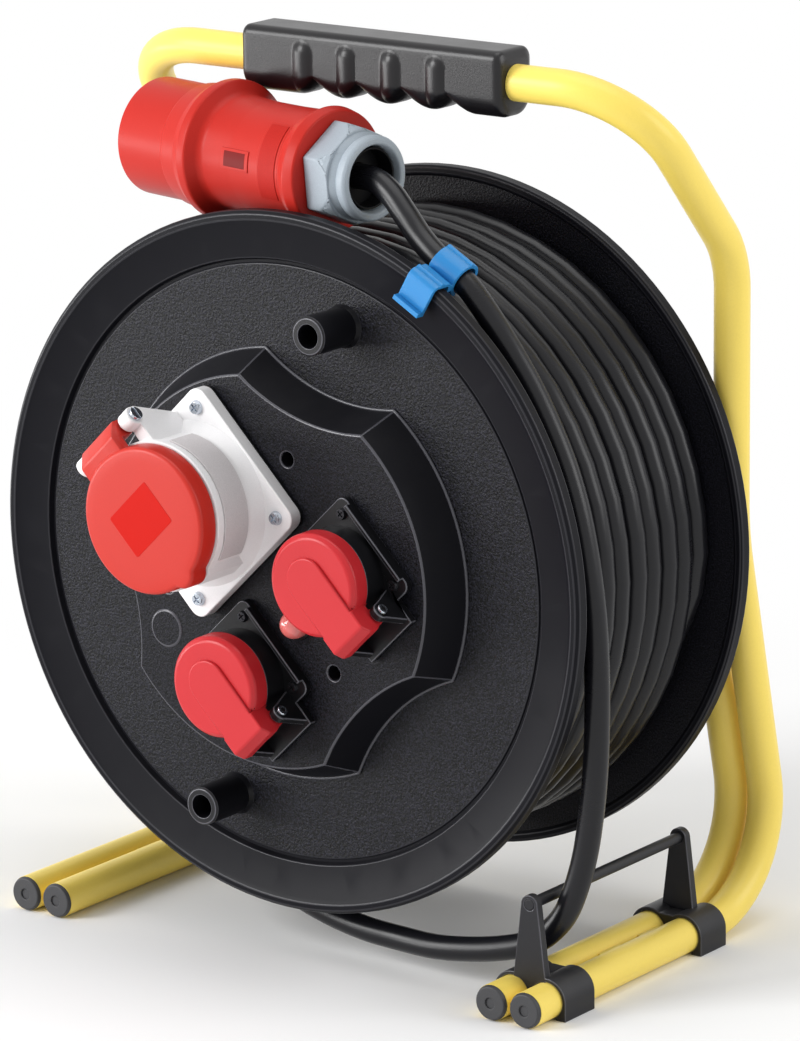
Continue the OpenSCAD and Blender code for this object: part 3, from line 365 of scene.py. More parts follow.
def lathe(name, profile, steps, place, body):
    """Closed ring turned from a profile of (radius, height) in mm."""
    form = bmesh.new()
    rings = []
    for k in range(steps):
        a = math.tau * k / steps
        rings.append([form.verts.new((r * math.cos(a), r * math.sin(a), h)) for r, h in profile])
    count = len(profile)
    for k in range(steps):
        for i in range(count):
            a, b = rings[k], rings[(k + 1) % steps]
            form.faces.new((a[i], a[(i + 1) % count], b[(i + 1) % count], b[i]))
    return piece_from(form, name, place, body, sharp=40)


# %% Plug and what rides on the cable
plug_outline = filleted([
    (8.6, 23.2, 0.4), (26.6, 23.2, 1.2), (27.7, 28.8, 2.2), (25.0, 34, 6), (24.4, 50, 20),
    (24.3, 66, 20), (25.1, 83.5, 5), (31, 87.6, 1.8), (31, 92, 2.2), (28.4, 97, 4),
    (27.2, 106, 1.2), (26, 107.6, 0.8), (26, 136, 0.7), (23.8, 136, 0.7), (23.8, 95, 0),
    (21, 91, 0), (21, 40, 0), (8.6, 34, 0)])
plug_body = lathe("plug_body", plug_outline, 96, plug_place, "stand")
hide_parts("plug_housing")
plug_face = rounded("plug_pin_carrier", 0.4)
plug_contacts = rounded("plug_pins", 0.3)
gland = rounded("gland_nut", 0.7, 3)
gland.data.transform(plug_place @ turned("Z", 20) @ plug_place.inverted())
gland_rubber = rounded("gland_seal", 0.3)
# Black rubber sleeve inside the nut's mouth: partly the seal, partly painted shade that stands
# in for the dark depth of the mouth.
shade_lining_outline = filleted([
    (12.4, 2.6, 0.3), (13.3, 2.4, 0.2), (13.3, 11.4, 0), (12.4, 11.4, 0)])
gland_shade_lining = lathe("gland_shade_lining", shade_lining_outline, 48, plug_place, "stand")
rim_clip = rounded("cable_clip", 0.35)
plug_pad_rim = wall_plate(
    "plug_pad_rim", plug_place, (0, 0), 24.7, (60, 144), (34.6, 47.9), 0.4, "stand", 0.15)
plug_pad = wall_plate(
    "plug_blank_pad", plug_place, (0, 0), 24.75, (63, 141), (36, 46.5), 0.7, "stand")
plug_window_rim = wall_plate(
    "plug_window_rim", plug_place, (0, 0), 24.4, (86, 107.5), (53.5, 70.5), 0.4, "stand")
# The window is a dark red patch, raised a little in its rim: painted shade standing in for a
# small recess.
plug_window = wall_plate(
    "plug_window", plug_place, (0, 0), 24.4, (89, 104.5), (55.5, 68.5), 0.5, "stand", 0.1)

print("pieces on the cable:", gland.name, plug_body.name, rim_clip.name)

# %% [markdown]
# ## Surface effects
# Four effects come back on nearly every part, so each is built once as a node
# group with named sockets: the fine grain that a textured mould leaves, slow
# drift of tone over a moulding, the marks of handling that change how glossy
# it is, and the little dust that stays on upward faces. A group only hands out
# numbers and colours; the shader stays in each material, with its own values.

# %% Helper: a shared effect as a node group
def effect_group(name, inputs, outputs):
    """New shader group; returns it with its inner input and output sockets."""
    group = bpy.data.node_groups.new(name, "ShaderNodeTree")
    for label, kind, value in inputs:
        socket = group.interface.new_socket(name=label, in_out="INPUT", socket_type=kind)
        socket.default_value = value
    for label, kind in outputs:
        group.interface.new_socket(name=label, in_out="OUTPUT", socket_type=kind)
    given = group.nodes.new("NodeGroupInput")
    made = group.nodes.new("NodeGroupOutput")
    return group, given.outputs, made.inputs


def maths(tree, operation, *values):
    """A Math node; numbers are set on it and sockets are linked to it."""
    node = tree.nodes.new("ShaderNodeMath")
    node.operation = operation
    for socket, value in zip(node.inputs, values):
        if isinstance(value, bpy.types.NodeSocket):
            tree.links.new(value, socket)
        else:
            socket.default_value = value
    return node.outputs[0]


def object_noise(tree, scale, detail=2.0, stretch=None):
    """Noise fixed to the part in metres; scale is a number or a socket."""
    coords = tree.nodes.new("ShaderNodeTexCoord").outputs["Object"]
    if stretch:
        mapping = tree.nodes.new("ShaderNodeMapping")
        mapping.inputs["Scale"].default_value = stretch
        tree.links.new(coords, mapping.inputs["Vector"])
        coords = mapping.outputs["Vector"]
    noise = tree.nodes.new("ShaderNodeTexNoise")
    noise.inputs["Detail"].default_value = detail
    tree.links.new(coords, noise.inputs["Vector"])
    if isinstance(scale, bpy.types.NodeSocket):
        tree.links.new(scale, noise.inputs["Scale"])
    else:
        noise.inputs["Scale"].default_value = scale
    return noise.outputs[0]


# %% Effect: moulded grain
grain_group, given, made = effect_group(
    "moulded_grain",
    [("Grains per Metre", "NodeSocketFloat", 1500.0)],
    [("Height", "NodeSocketFloat"), ("Speckle", "NodeSocketFloat")])
coarse = object_noise(grain_group, given["Grains per Metre"], 3.0)
finer_scale = maths(grain_group, "MULTIPLY", given["Grains per Metre"], 1.7)
finer = object_noise(grain_group, finer_scale, 1.0)
height = maths(grain_group, "ADD", coarse, maths(grain_group, "MULTIPLY", finer, 0.5))
speckle = maths(grain_group, "MULTIPLY", maths(grain_group, "SUBTRACT", finer, 0.32), 2.8)
grain_group.links.new(height, made["Height"])
grain_group.links.new(speckle, made["Speckle"])
print("group", grain_group.name, len(grain_group.nodes), "nodes")

# %% Effect: slow drift of tone with speckle
drift_group, given, made = effect_group(
    "tone_drift",
    [("Colour", "NodeSocketColor", (0.5, 0.5, 0.5, 1.0)),
     ("Drift", "NodeSocketFloat", 0.05),
     ("Patches per Metre", "NodeSocketFloat", 18.0),
     ("Speckle", "NodeSocketFloat", 0.5),
     ("Speckle Strength", "NodeSocketFloat", 0.0)],
    [("Colour", "NodeSocketColor")])
patches = object_noise(drift_group, given["Patches per Metre"], 3.0)
slow = maths(drift_group, "MULTIPLY",
             maths(drift_group, "SUBTRACT", patches, 0.5),
             maths(drift_group, "MULTIPLY", given["Drift"], 2.0))
quick_tone = maths(drift_group, "MULTIPLY",
                   maths(drift_group, "SUBTRACT", given["Speckle"], 0.5),
                   given["Speckle Strength"])
gain = maths(drift_group, "ADD", 1.0, maths(drift_group, "ADD", slow, quick_tone))
shaded = drift_group.nodes.new("ShaderNodeVectorMath")
shaded.operation = "SCALE"
drift_group.links.new(given["Colour"], shaded.inputs[0])
drift_group.links.new(gain, shaded.inputs["Scale"])
drift_group.links.new(shaded.outputs[0], made["Colour"])
print("group", drift_group.name, len(drift_group.nodes), "nodes")

# %% Effect: handling marks
marks_group, given, made = effect_group(
    "handling_marks",
    [("Roughness", "NodeSocketFloat", 0.4), ("Amount", "NodeSocketFloat", 0.1)],
    [("Roughness", "NodeSocketFloat")])
smudges = object_noise(marks_group, 30.0, 4.0)
scratches = object_noise(marks_group, 120.0, 2.0, stretch=(1.0, 1.0, 14.0))
mixed = maths(marks_group, "ADD",
              maths(marks_group, "MULTIPLY", smudges, 0.65),
              maths(marks_group, "MULTIPLY", scratches, 0.35))
swing = maths(marks_group, "MULTIPLY",
              maths(marks_group, "SUBTRACT", mixed, 0.5),
              maths(marks_group, "MULTIPLY", given["Amount"], 2.0))
marks_group.links.new(maths(marks_group, "ADD", given["Roughness"], swing), made["Roughness"])
print("group", marks_group.name, len(marks_group.nodes), "nodes")

# %% Effect: settled dust
dust_group, given, made = effect_group(
    "settled_dust",
    [("Colour", "NodeSocketColor", (0.5, 0.5, 0.5, 1.0)), ("Amount", "NodeSocketFloat", 0.05)],
    [("Colour", "NodeSocketColor")])
facing = dust_group.nodes.new("ShaderNodeTexCoord").outputs["Normal"]
split = dust_group.nodes.new("ShaderNodeSeparateXYZ")
dust_group.links.new(facing, split.inputs[0])
upward = maths(dust_group, "MAXIMUM", split.outputs["Z"], 0.0)
cloud = object_noise(dust_group, 90.0, 5.0)
cover = maths(dust_group, "MULTIPLY",
              maths(dust_group, "MULTIPLY", upward, cloud),
              maths(dust_group, "MULTIPLY", given["Amount"], 2.0))
blend = dust_group.nodes.new("ShaderNodeMix")
blend.data_type = "RGBA"
blend.inputs[7].default_value = (0.42, 0.41, 0.39, 1.0)
dust_group.links.new(cover, blend.inputs[0])
dust_group.links.new(given["Colour"], blend.inputs[6])
dust_group.links.new(blend.outputs[2], made["Colour"])
print("group", dust_group.name, len(dust_group.nodes), "nodes")

# %% [markdown]
# ## Finishes
# Most of the reel is injection moulded, so one recipe makes most finishes: a
# tone, how rough it is, how deep its grain is, and how much it varies. The
# drum is grained to hide scratches, the outlet lids are smooth, and the cable
# has a dull skin. Colours are written as they would be read off the object,
# and turned into the linear values that a shader needs.

# %% Helpers: colour and moulded finish
def tone(red, green, blue):
    """Linear colour from a screen colour of 0 to 255."""
    def linear(c):
        c = c / 255
        return c / 12.92 if c <= 0.04045 else ((c + 0.055) / 1.055) ** 2.4
    return (linear(red), linear(green), linear(blue), 1.0)


def effect(tree, group, **values):
    """Place a shared effect and set its values; underscores stand for spaces."""
    node = tree.nodes.new("ShaderNodeGroup")
    node.node_tree = group
    for label, value in values.items():
        socket = node.inputs[label.replace("_", " ")]
        if isinstance(value, bpy.types.NodeSocket):
            tree.links.new(value, socket)
        else:
            socket.default_value = value
    return node


def moulded(name, colour, roughness, grains=1500, depth=0.01, speckle=0.0,
            drift=0.05, patches=18, marks=0.08, dust=0.0, coat=0.0, metal=0.0, sheen=0.3):
    """A moulded, painted or plated finish; depth is the grain's height in mm."""
    material = bpy.data.materials.new(name)
    material.use_nodes = True
    tree = material.node_tree
    shader = tree.nodes["Principled BSDF"]
    grain = effect(tree, grain_group, Grains_per_Metre=grains)
    toned = effect(tree, drift_group, Colour=colour, Drift=drift, Patches_per_Metre=patches,
                   Speckle=grain.outputs["Speckle"], Speckle_Strength=speckle)
    surface = toned.outputs["Colour"]
    if dust:
        surface = effect(tree, dust_group, Colour=surface, Amount=dust).outputs["Colour"]
    tree.links.new(surface, shader.inputs["Base Color"])
    worn = effect(tree, marks_group, Roughness=roughness, Amount=marks)
    tree.links.new(worn.outputs["Roughness"], shader.inputs["Roughness"])
    bump = tree.nodes.new("ShaderNodeBump")
    bump.inputs["Strength"].default_value = 1.0
    bump.inputs["Distance"].default_value = depth * MM
    tree.links.new(grain.outputs["Height"], bump.inputs["Height"])
    tree.links.new(bump.outputs["Normal"], shader.inputs["Normal"])
    shader.inputs["Coat Weight"].default_value = coat
    shader.inputs["Coat Roughness"].default_value = 0.12
    shader.inputs["Metallic"].default_value = metal
    shader.inputs["Specular IOR Level"].default_value = 0.5 if metal else sheen
    material.diffuse_color = colour
    return material


def dress(piece, finish, edge_highlight=None):
    """Give a piece its finish, and its rounded edges a lighter one if named: a painted
    highlight.
    """
    if isinstance(piece, str):
        piece = frame["nodes"][piece]
    piece.data.materials.clear()
    piece.data.materials.append(finish)
    if edge_highlight:
        piece.data.materials.append(edge_highlight)
        piece.modifiers["moulded_edges"].material = 1
    return piece


# %% Finishes of the reel
drum_grain = moulded("drum_grain", tone(16, 16, 22), 0.44, 850, 0.32,
                     speckle=3.4, drift=0.08, dust=0.02, sheen=0.2)
drum_smooth = moulded("drum_smooth", tone(17, 17, 22), 0.42, 1500, 0.008,
                      speckle=0.08, drift=0.08, dust=0.01, sheen=0.1)
# Lighter colours for rounded edges only: painted highlights that draw thin bright lines on dark
# mouldings.
drum_painted_highlight = moulded("drum_painted_highlight", tone(70, 70, 76), 0.26, 1500, 0.004, sheen=0.4)
rim_painted_highlight = moulded("rim_painted_highlight", tone(36, 36, 41), 0.32, 1500, 0.004, sheen=0.25)
panel_black = moulded("panel_black", tone(16, 16, 22), 0.44, 950, 0.2,
                      speckle=2.6, drift=0.08, dust=0.02, sheen=0.17)
outlet_black = moulded("outlet_black", tone(17, 17, 20), 0.34, 1500, 0.006,
                       speckle=0.08)
# Lighter still: painted highlight for the rounded edges of the outlets and the winding posts.
outlet_painted_highlight = moulded("outlet_painted_highlight", tone(88, 88, 94), 0.25, 1500, 0.003)
post_black = moulded("post_black", tone(16, 16, 20), 0.36, 1500, 0.008)
bracket_black = moulded("bracket_black", tone(28, 28, 32), 0.42, 1500, 0.012,
                        speckle=0.15, dust=0.04)
cap_grey = moulded("cap_grey", tone(62, 62, 64), 0.5, 1500, 0.012, speckle=0.2)
grip_soft = moulded("grip_soft", tone(18, 16, 19), 0.32, 1200, 0.04,
                    speckle=0.3, sheen=0.4)
cable_skin = moulded("cable_skin", tone(19, 19, 23), 0.3, 900, 0.008,
                     speckle=0.1, drift=0.12, patches=12, marks=0.12, sheen=0.32)
seal_rubber = moulded("seal_rubber", tone(14, 14, 16), 0.6, 1500, 0.01, sheen=0.15)
lid_red = moulded("lid_red", tone(190, 43, 32), 0.36, 1500, 0.006,
                  speckle=0.05, drift=0.03)
household_red = moulded("household_red", tone(192, 40, 46), 0.32, 1500, 0.004,
                        speckle=0.04, drift=0.03)
label_red = moulded("label_red", tone(190, 18, 5), 0.4, 1500, 0.002, sheen=0.1)
plug_red = moulded("plug_red", tone(184, 42, 34), 0.38, 1500, 0.006,
                   speckle=0.05, drift=0.04, sheen=0.14)
pad_red = moulded("pad_red", tone(172, 34, 27), 0.5, 1500, 0.02,
                  speckle=0.15, sheen=0.1)
window_painted_shade = moulded("window_painted_shade", tone(112, 14, 12), 0.4, 1500, 0.004, sheen=0.1)
outlet_grey = moulded("outlet_grey", tone(238, 237, 238), 0.34, 1500, 0.005,
                      speckle=0.04, drift=0.02)
plate_grey = moulded("plate_grey", tone(206, 201, 202), 0.42, 1500, 0.02,
                     speckle=0.12, drift=0.03, sheen=0.2)
gland_grey = moulded("gland_grey", tone(158, 168, 177), 0.42, 1500, 0.012,
                     speckle=0.12, drift=0.03)
bush_white = moulded("bush_white", tone(205, 205, 200), 0.5, 1500, 0.006)
clip_blue = moulded("clip_blue", tone(46, 132, 196), 0.26, 1500, 0.004,
                    drift=0.05)
lamp_pink = moulded("lamp_pink", tone(222, 112, 108), 0.14, 1500, 0.001,
                    drift=0.1, coat=1.0)
powder_yellow = moulded("powder_yellow", tone(252, 224, 108), 0.34, 650, 0.012,
                        speckle=0.02, drift=0.02, patches=8, marks=0.06)
zinc_steel = moulded("zinc_steel", tone(190, 197, 206), 0.22, 900, 0.004,
                     drift=0.1, patches=120, metal=1.0)
black_steel = moulded("black_steel", tone(44, 44, 48), 0.34, 900, 0.004,
                      drift=0.1, patches=120, metal=0.7)
contact_brass = moulded("contact_brass", tone(214, 190, 130), 0.28, 900, 0.004,
                        drift=0.08, metal=1.0)

# %% Finish of the cable, plug and clip
free_cable.data.materials.append(cable_skin)
for piece, finish in (
        (plug_body, plug_red), (plug_face, outlet_black), (plug_contacts, zinc_steel),
        (gland, gland_grey), (gland_shade_lining, seal_rubber), (gland_rubber, seal_rubber),
        (rim_clip, clip_blue), (plug_pad_rim, plug_red), (plug_pad, pad_red),
        (plug_window_rim, plug_red), (plug_window, window_painted_shade)):
    dress(piece, finish)

# %% [markdown]
# ## Stand
# The stand is two bent steel tubes with a smooth powder coat. The CAD tube is
# built from straight runs and bends; a bent tube has no seam between them, so
# each one is swept here as a single skin along its centre line. Both are given
# as one half, from the foot's tip to the middle, and mirrored.

# %% Helper: bent path
def bent_path(corners, radii, steps=18):
    """Centre line of a bent tube: straight runs joined by round bends."""
    path = [corners[0]]
    for i in range(1, len(corners) - 1):
        ahead = (corners[i] - corners[i - 1]).normalized()
        after = (corners[i + 1] - corners[i]).normalized()
        angle = ahead.angle(after)
        start = corners[i] - ahead * radii[i] * math.tan(angle / 2)
        inward = (after - ahead * ahead.dot(after)).normalized()
        middle = start + inward * radii[i]
        for k in range(steps + 1):
            a = angle * k / steps
            path.append(middle + radii[i] * (ahead * math.sin(a) - inward * math.cos(a)))
    return path + [corners[-1]]


def mirrored(half):
    """Corners from the left foot over the middle to the right foot."""
    return [Vector((-x, y, z)) for x, y, z in half] + [Vector(p) for p in reversed(half)]


# %% Two bent tubes
TUBE_SKIN = 7.95
FOOT_TIP_Y, FOOT_CORNER_Y, TUBE_Z = -14, 182.4, 8
OUTER_X, INNER_X = 137.5, 119.9
lean_run = math.tan(math.radians(13))
upright_y = FOOT_CORNER_Y - 175 * lean_run
arch_y = FOOT_CORNER_Y - 170 * lean_run

outer_half = [
    (OUTER_X, FOOT_TIP_Y, TUBE_Z), (OUTER_X, FOOT_CORNER_Y, TUBE_Z),
    (OUTER_X, upright_y, 183), (OUTER_X, upright_y, 306), (OUTER_X, 70, 385.5)]
outer_bends = [0, 46, 120, 40, 40, 40, 40, 120, 46, 0]
inner_half = [
    (INNER_X, FOOT_TIP_Y, TUBE_Z), (INNER_X, FOOT_CORNER_Y, TUBE_Z), (INNER_X, arch_y, 178)]
inner_bends = [0, 46, 82, 82, 46, 0]
outer_tube = swept(
    "handle_tube", bent_path(mirrored(outer_half), outer_bends),
    TUBE_SKIN, 32, stand_place, "stand")
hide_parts("frame_outer_tube")
inner_tube = swept(
    "arch_tube", bent_path(mirrored(inner_half), inner_bends),
    TUBE_SKIN, 32, stand_place, "stand")
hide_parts("frame_inner_tube")

# %% Small parts of the stand
for piece in (outer_tube, inner_tube, rounded("tube_lugs", 0.6)):
    dress(piece, powder_yellow)
dress(rounded("foot_caps", 0.5, 3), cap_grey)
for node in ("guide_clamp_front", "guide_clamp_rear"):
    dress(rounded(node, 0.4), bracket_black, drum_painted_highlight)
dress(rounded("guide_rod", 0.5), bracket_black)

# %% [markdown]
# ## Hand grip
# The grip is a soft block moulded round the top tube. Four ribs with rounded tops
# stand up on both sides, and beside each one the underside is pulled up into a
# sharp notch, so that the block swells out under every finger. It is lofted from
# rounded sections, and two small functions say how far each point is moved. The
# ribs act only near the sides and the notches only below the tube.

# %% Hand grip with four ribs and four notches
GRIP_X, GRIP_Y, GRIP_Z = 5.7, 70, 385.5
RIB_PITCH, RIB_RADIUS, RIB_HEIGHT, RIB_TOP = 23.7, 5.0, 2.0, 4.6
NOTCH_OFFSET, NOTCH_RISE = 5.4, 6.6
END_ROUNDING = 3.5
SIDE_FROM, SIDE_FADE, UNDER_FROM = 5.0, 5, 4.0
rib_places = [-35.4 + RIB_PITCH * i for i in range(4)]


def pushed_out(x, z):
    """Height of the ribs on the side of the grip, in mm."""
    for place in rib_places:
        off = math.hypot(x - place, max(z - RIB_TOP, 0.0)) / RIB_RADIUS
        if off < 1:
            return RIB_HEIGHT * (1 - off * off) ** 0.8
    return 0.0


def pulled_up(x):
    """Rise of the underside towards the nearest notch, in mm."""
    near = min(abs(x - place - NOTCH_OFFSET) for place in rib_places)
    return NOTCH_RISE * max(1 - near / (RIB_PITCH / 2), 0.0) ** 2


def lofted_grip(length, half_depth, top, bottom, stations=190):
    """Grip along x from rounded sections about its centre, in mm."""
    outline = filleted([
        (half_depth, top, 4.2), (-half_depth, top, 4.2),
        (-half_depth, -bottom, 9.0), (half_depth, -bottom, 9.0)], 9)
    ring_points = []
    for a, b in zip(outline, outline[1:] + outline[:1]):
        count = max(1, round((b - a).length))
        ring_points += [a.lerp(b, k / count) for k in range(count)]
    form = bmesh.new()
    rings = []
    for i in range(stations + 1):
        x = length * (i / stations - 0.5)
        edge = min(length / 2 - abs(x), END_ROUNDING)
        inset = END_ROUNDING - math.sqrt(END_ROUNDING ** 2 - (END_ROUNDING - edge) ** 2)
        ring = []
        for y, z in ring_points:
            y *= 1 - inset / half_depth
            z *= 1 - inset / bottom
            side = max(0.0, min(1.0, (abs(y) - SIDE_FROM) / SIDE_FADE))
            under = max(0.0, (-z - UNDER_FROM) / (bottom - UNDER_FROM))
            y += math.copysign(pushed_out(x, z) * side, y)
            z += pulled_up(x) * under
            ring.append(form.verts.new((x + GRIP_X, y + GRIP_Y, z + GRIP_Z)))
        rings.append(ring)
    skin(form, rings)
    return piece_from(form, "hand_grip_form", stand_place, "stand", sharp=30)


grip = lofted_grip(139, 12.3, 14.4, 14.7)
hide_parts("hand_grip")
dress(grip, grip_soft)
print("grip", len(grip.data.polygons), "faces")

# %% [markdown]
# ## Drum
# Front and rear flange and the barrel between them are one grained moulding to
# the eye, but the raised rim is polished by the hands that turn it. The faces
# outside the step therefore take a smoother finish than the disc. The rounded
# edges take a lighter colour: a painted highlight along them.

# %% Flanges and barrel
def smooth_outside(piece, radius, finish):
    """Faces farther from the drum axis than radius, in mm, take another finish."""
    mesh = piece.data
    mesh.materials.append(finish)
    reach = [math.hypot(v.co.x / MM, v.co.z / MM - AXIS_HEIGHT) for v in mesh.vertices]
    for face in mesh.polygons:
        if min(reach[v] for v in face.vertices) > radius:
            face.material_index = len(mesh.materials) - 1


for node, step_radius in (("front_flange", 131.0), ("rear_flange", 146.0)):
    flange = dress(rounded(node, 0.45), drum_grain, rim_painted_highlight)
    smooth_outside(flange, step_radius, drum_smooth)
dress("drum_core", drum_grain)
dress(rounded("winding_posts", 0.3), post_black, outlet_painted_highlight)
for node in ("core_screws_front", "core_screws_rear"):
    dress(rounded(node, 0.12), zinc_steel)
for node in ("hub_bush_front", "hub_bush_rear"):
    dress(node, bush_white)

# %% [markdown]
# ## Wound cable
# A layer of cable is one long helix, and between its turns the next layer down
# shows. So two helices are swept, the lower one half a step along so that the
# upper one nests in its grooves, over a sleeve that carries the marks of the
# layers below. The pitch wanders a little, because nobody winds by machine. The
# upper helix dives between the lower turns where it begins, and is led out to
# the free cable where it ends.

# %% Outer layer, lower layer and packed inner layers
wind_back, wind_pitch, wind_radius = -119.2, 11.8, 134.0
lower_radius, end_angle = 124.9, 3131.9


def helix_point(angle, radius, height):
    """Point of a hand wound turn: angle in degrees, radius and height in mm."""
    a = math.radians(angle)
    wander = 0.24 * math.sin(a * 0.37 + 1.1) + 0.18 * math.sin(a * 0.91)
    sag = 0.35 * math.sin(a * 0.53 + 0.4)
    return Vector((
        (radius + sag) * math.cos(a), (radius + sag) * math.sin(a), height + wander))


def eased(x):
    """Smooth step from 0 to 1."""
    x = max(0.0, min(1.0, x))
    return x * x * (3 - 2 * x)


TURN_STEP = 7.5
DIVE_DEPTH, DIVE_DEGREES = 9, 30
LEAD_OUT, LEAD_FROM, LEAD_DEGREES, LEAD_HEIGHT = 11.2, 48, 44, -20
outer_turns = []
for step in range(-4, int(end_angle / TURN_STEP) + 1):
    angle = step * TURN_STEP
    climb = eased((angle - end_angle + LEAD_FROM) / LEAD_DEGREES)
    dive = eased(-angle / DIVE_DEGREES)
    height = wind_back + wind_pitch * max(angle, 0) / 360
    outer_turns.append(helix_point(
        angle, wind_radius + LEAD_OUT * climb - DIVE_DEPTH * dive,
        height + (LEAD_HEIGHT - height) * climb))
outer_turns.append(Vector((-45, -138, LEAD_HEIGHT)))
outer_layer = swept("wound_cable", outer_turns, cable_radius, 18, axle_place, "drum")
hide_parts("cable_winding")

lower_turns = [
    helix_point(step * 9.0, lower_radius, wind_back + wind_pitch * (0.5 + step / 40))
    for step in range(311)]
lower_layer = swept("lower_layer", lower_turns, cable_radius, 12, axle_place, "drum")

packed_back, packed_width, barrel_radius = -124.5, 116.0, 78.4
packed_profile = [(barrel_radius, packed_back + packed_width), (barrel_radius, packed_back)]
for step in range(79):
    h = packed_back + packed_width * step / 78
    bulge = abs(math.cos(math.pi * (h - wind_back) / wind_pitch))
    packed_profile.append((113.5 + 5.4 * bulge, h))
packed_layers = lathe("packed_layers", packed_profile, 96, axle_place, "drum")
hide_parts("cable_winding_core")
for piece in (outer_layer, lower_layer, packed_layers):
    dress(piece, cable_skin)
dress("cable_entry_clamp", bracket_black)

# %% [markdown]
# ## Outlet panel
# The three lobed panel is a thin shell with drafted walls. Its rounded upper
# edge takes the lighter edge colour, a painted highlight that draws a line round
# the outlets, and a fine bead where it stands on the drum, in the same light
# colour, draws a second painted line. The bead follows the shell's own foot:
# the outermost foot point in each direction from the axis. The walls are smooth
# and only the top is grained. The screws sit deep in wells, so only dark holes
# show. The lamp is a small domed lens, pink under a clear coat.

# %% Panel with smooth walls and a bead at its foot
TOP_FACING = 0.93
BOSS_REACH = 70
BEAD_RADIUS, BEAD_LIFT = 0.75, 0.45

panel = dress(rounded("socket_panel", 0.7, 3), panel_black, drum_painted_highlight)
panel.data.materials.append(drum_smooth)
for face in panel.data.polygons:
    if abs(face.normal.y) < TOP_FACING:
        face.material_index = 2


def foot_outline(mesh, spoke_degrees=1.5):
    """Outer foot points of a shell on the drum's face, ordered round the axis, in mm.

    Points nearer to the axis than BOSS_REACH belong to the screw bosses.
    """
    to_face = drum_place.inverted()
    points = [to_face @ v.co for v in mesh.vertices]
    foot = min(p.z for p in points if p.xy.length > BOSS_REACH)
    ring = {}
    for face in mesh.polygons:
        corners = [points[v] for v in face.vertices]
        middle = sum(corners, Vector()) / len(corners)
        outward = (to_face.to_3x3() @ face.normal).normalized()
        if abs(outward.z) > 0.95 or outward.xy.dot(middle.xy) < 0:
            continue
        for p in corners:
            if p.z < foot + 0.1 and p.xy.length > BOSS_REACH:
                spoke = round(math.degrees(math.atan2(p.y, p.x)) / spoke_degrees)
                if p.xy.length > ring.get(spoke, Vector((0, 0, 0))).xy.length:
                    ring[spoke] = p
    return [ring[spoke] for spoke in sorted(ring)]


foot_line = foot_outline(panel.data)
foot_line = [p + Vector((0, 0, BEAD_LIFT)) for p in foot_line + foot_line[:2]]
# The whole bead is in the lighter edge colour: a painted highlight line along the panel's foot.
highlight_bead = swept("panel_foot_highlight_bead", foot_line, BEAD_RADIUS, 8, drum_place, "drum")
dress(highlight_bead, drum_painted_highlight)

# %% Panel screws and the lamp
dress(rounded("panel_screws", 0.12), zinc_steel)
dress(rounded("lamp_holder", 0.3), outlet_black)
dress("lamp_lens", lamp_pink)
dress("terminal_block", bush_white)

# %% [markdown]
# ## Five pole outlet
# A pale square flange carries a round body with a nose at the bottom, where the
# lid's catch lies. So many small curved faces meet at the nose that a bevel
# would fold over itself there, so its edges are left as they are. The plate on
# the body's side holds inscriptions on real ones; here it stays bare.

# %% Outlet body and its blank plate
def on_nose(p):
    """True for a point on the nose of the outlet's body, on the drum's face in mm."""
    return p.y < 14 and abs(p.x) < 20 and p.z > 23.5


dress(rounded("cee_gasket", 0.3), seal_rubber)
dress(rounded("cee_housing", 0.7, 3, spare=on_nose), outlet_grey)
dress(rounded("cee_contact_carrier", 0.4), outlet_black)
dress(rounded("cee_contact_sleeves", 0.2), contact_brass)
dress(rounded("cee_flange_screws", 0.12), zinc_steel)
dress(rounded("cee_hinge_pin", 0.15), zinc_steel)
dress("cee_lid_gasket", seal_rubber)
outlet_plate = wall_plate(
    "outlet_blank_plate", drum_place, (0, 40), 32.2, (-74, 40), (29, 44.6), 0.9, "drum", 0.25)
dress(outlet_plate, plate_grey)

# %% [markdown]
# The red lid is a thick disc with a rolled edge, a catch for the thumb at the
# bottom and a strap that runs round the hinge pin. The disc is turned from its
# section, row by row, while the catch pushes the outline out where it stands.
# The strap is a bar with a rounded outline, open in the middle for the spring.
# The patch on the lid holds inscriptions on real ones and stays bare here.

# %% Helper: flat plate with rounded corners
def flat_plate(name, centre, size, corner, bottom, top, body):
    """Rounded plate on the drum's face: centre and size in mm."""
    form = bmesh.new()
    outline = []
    for sx, sy, start in ((1, 1, 0), (-1, 1, 90), (-1, -1, 180), (1, -1, 270)):
        for k in range(5):
            a = math.radians(start + 22.5 * k)
            outline.append((
                centre[0] + sx * (size[0] / 2 - corner) + corner * math.cos(a),
                centre[1] + sy * (size[1] / 2 - corner) + corner * math.sin(a)))
    face = form.faces.new([form.verts.new((x, y, bottom)) for x, y in outline])
    raised = bmesh.ops.extrude_face_region(form, geom=[face])["geom"]
    for vert in raised:
        if isinstance(vert, bmesh.types.BMVert):
            vert.co.z = top
    piece = piece_from(form, name, drum_place, body, smooth=False)
    bevelled(piece, "moulded_edges", 0.12)
    return piece


# %% Helpers: round lid with a catch
LID_CENTRE, LID_RADIUS = 40.0, 32.0
CATCH_OUT, CATCH_RADIUS = 28.4, 6.4
CORNER_POWER = 160


def lid_outline(angle):
    """Radius of the lid at an angle; the rounded catch stands out at the bottom."""
    off = abs((angle + math.pi / 2 + math.pi) % math.tau - math.pi)
    inside = CATCH_RADIUS ** 2 - (CATCH_OUT * math.sin(off)) ** 2
    if off > 1.0 or inside <= 0:
        return LID_RADIUS
    catch = CATCH_OUT * math.cos(off) + math.sqrt(inside)
    return (LID_RADIUS ** CORNER_POWER + catch ** CORNER_POWER) ** (1 / CORNER_POWER)


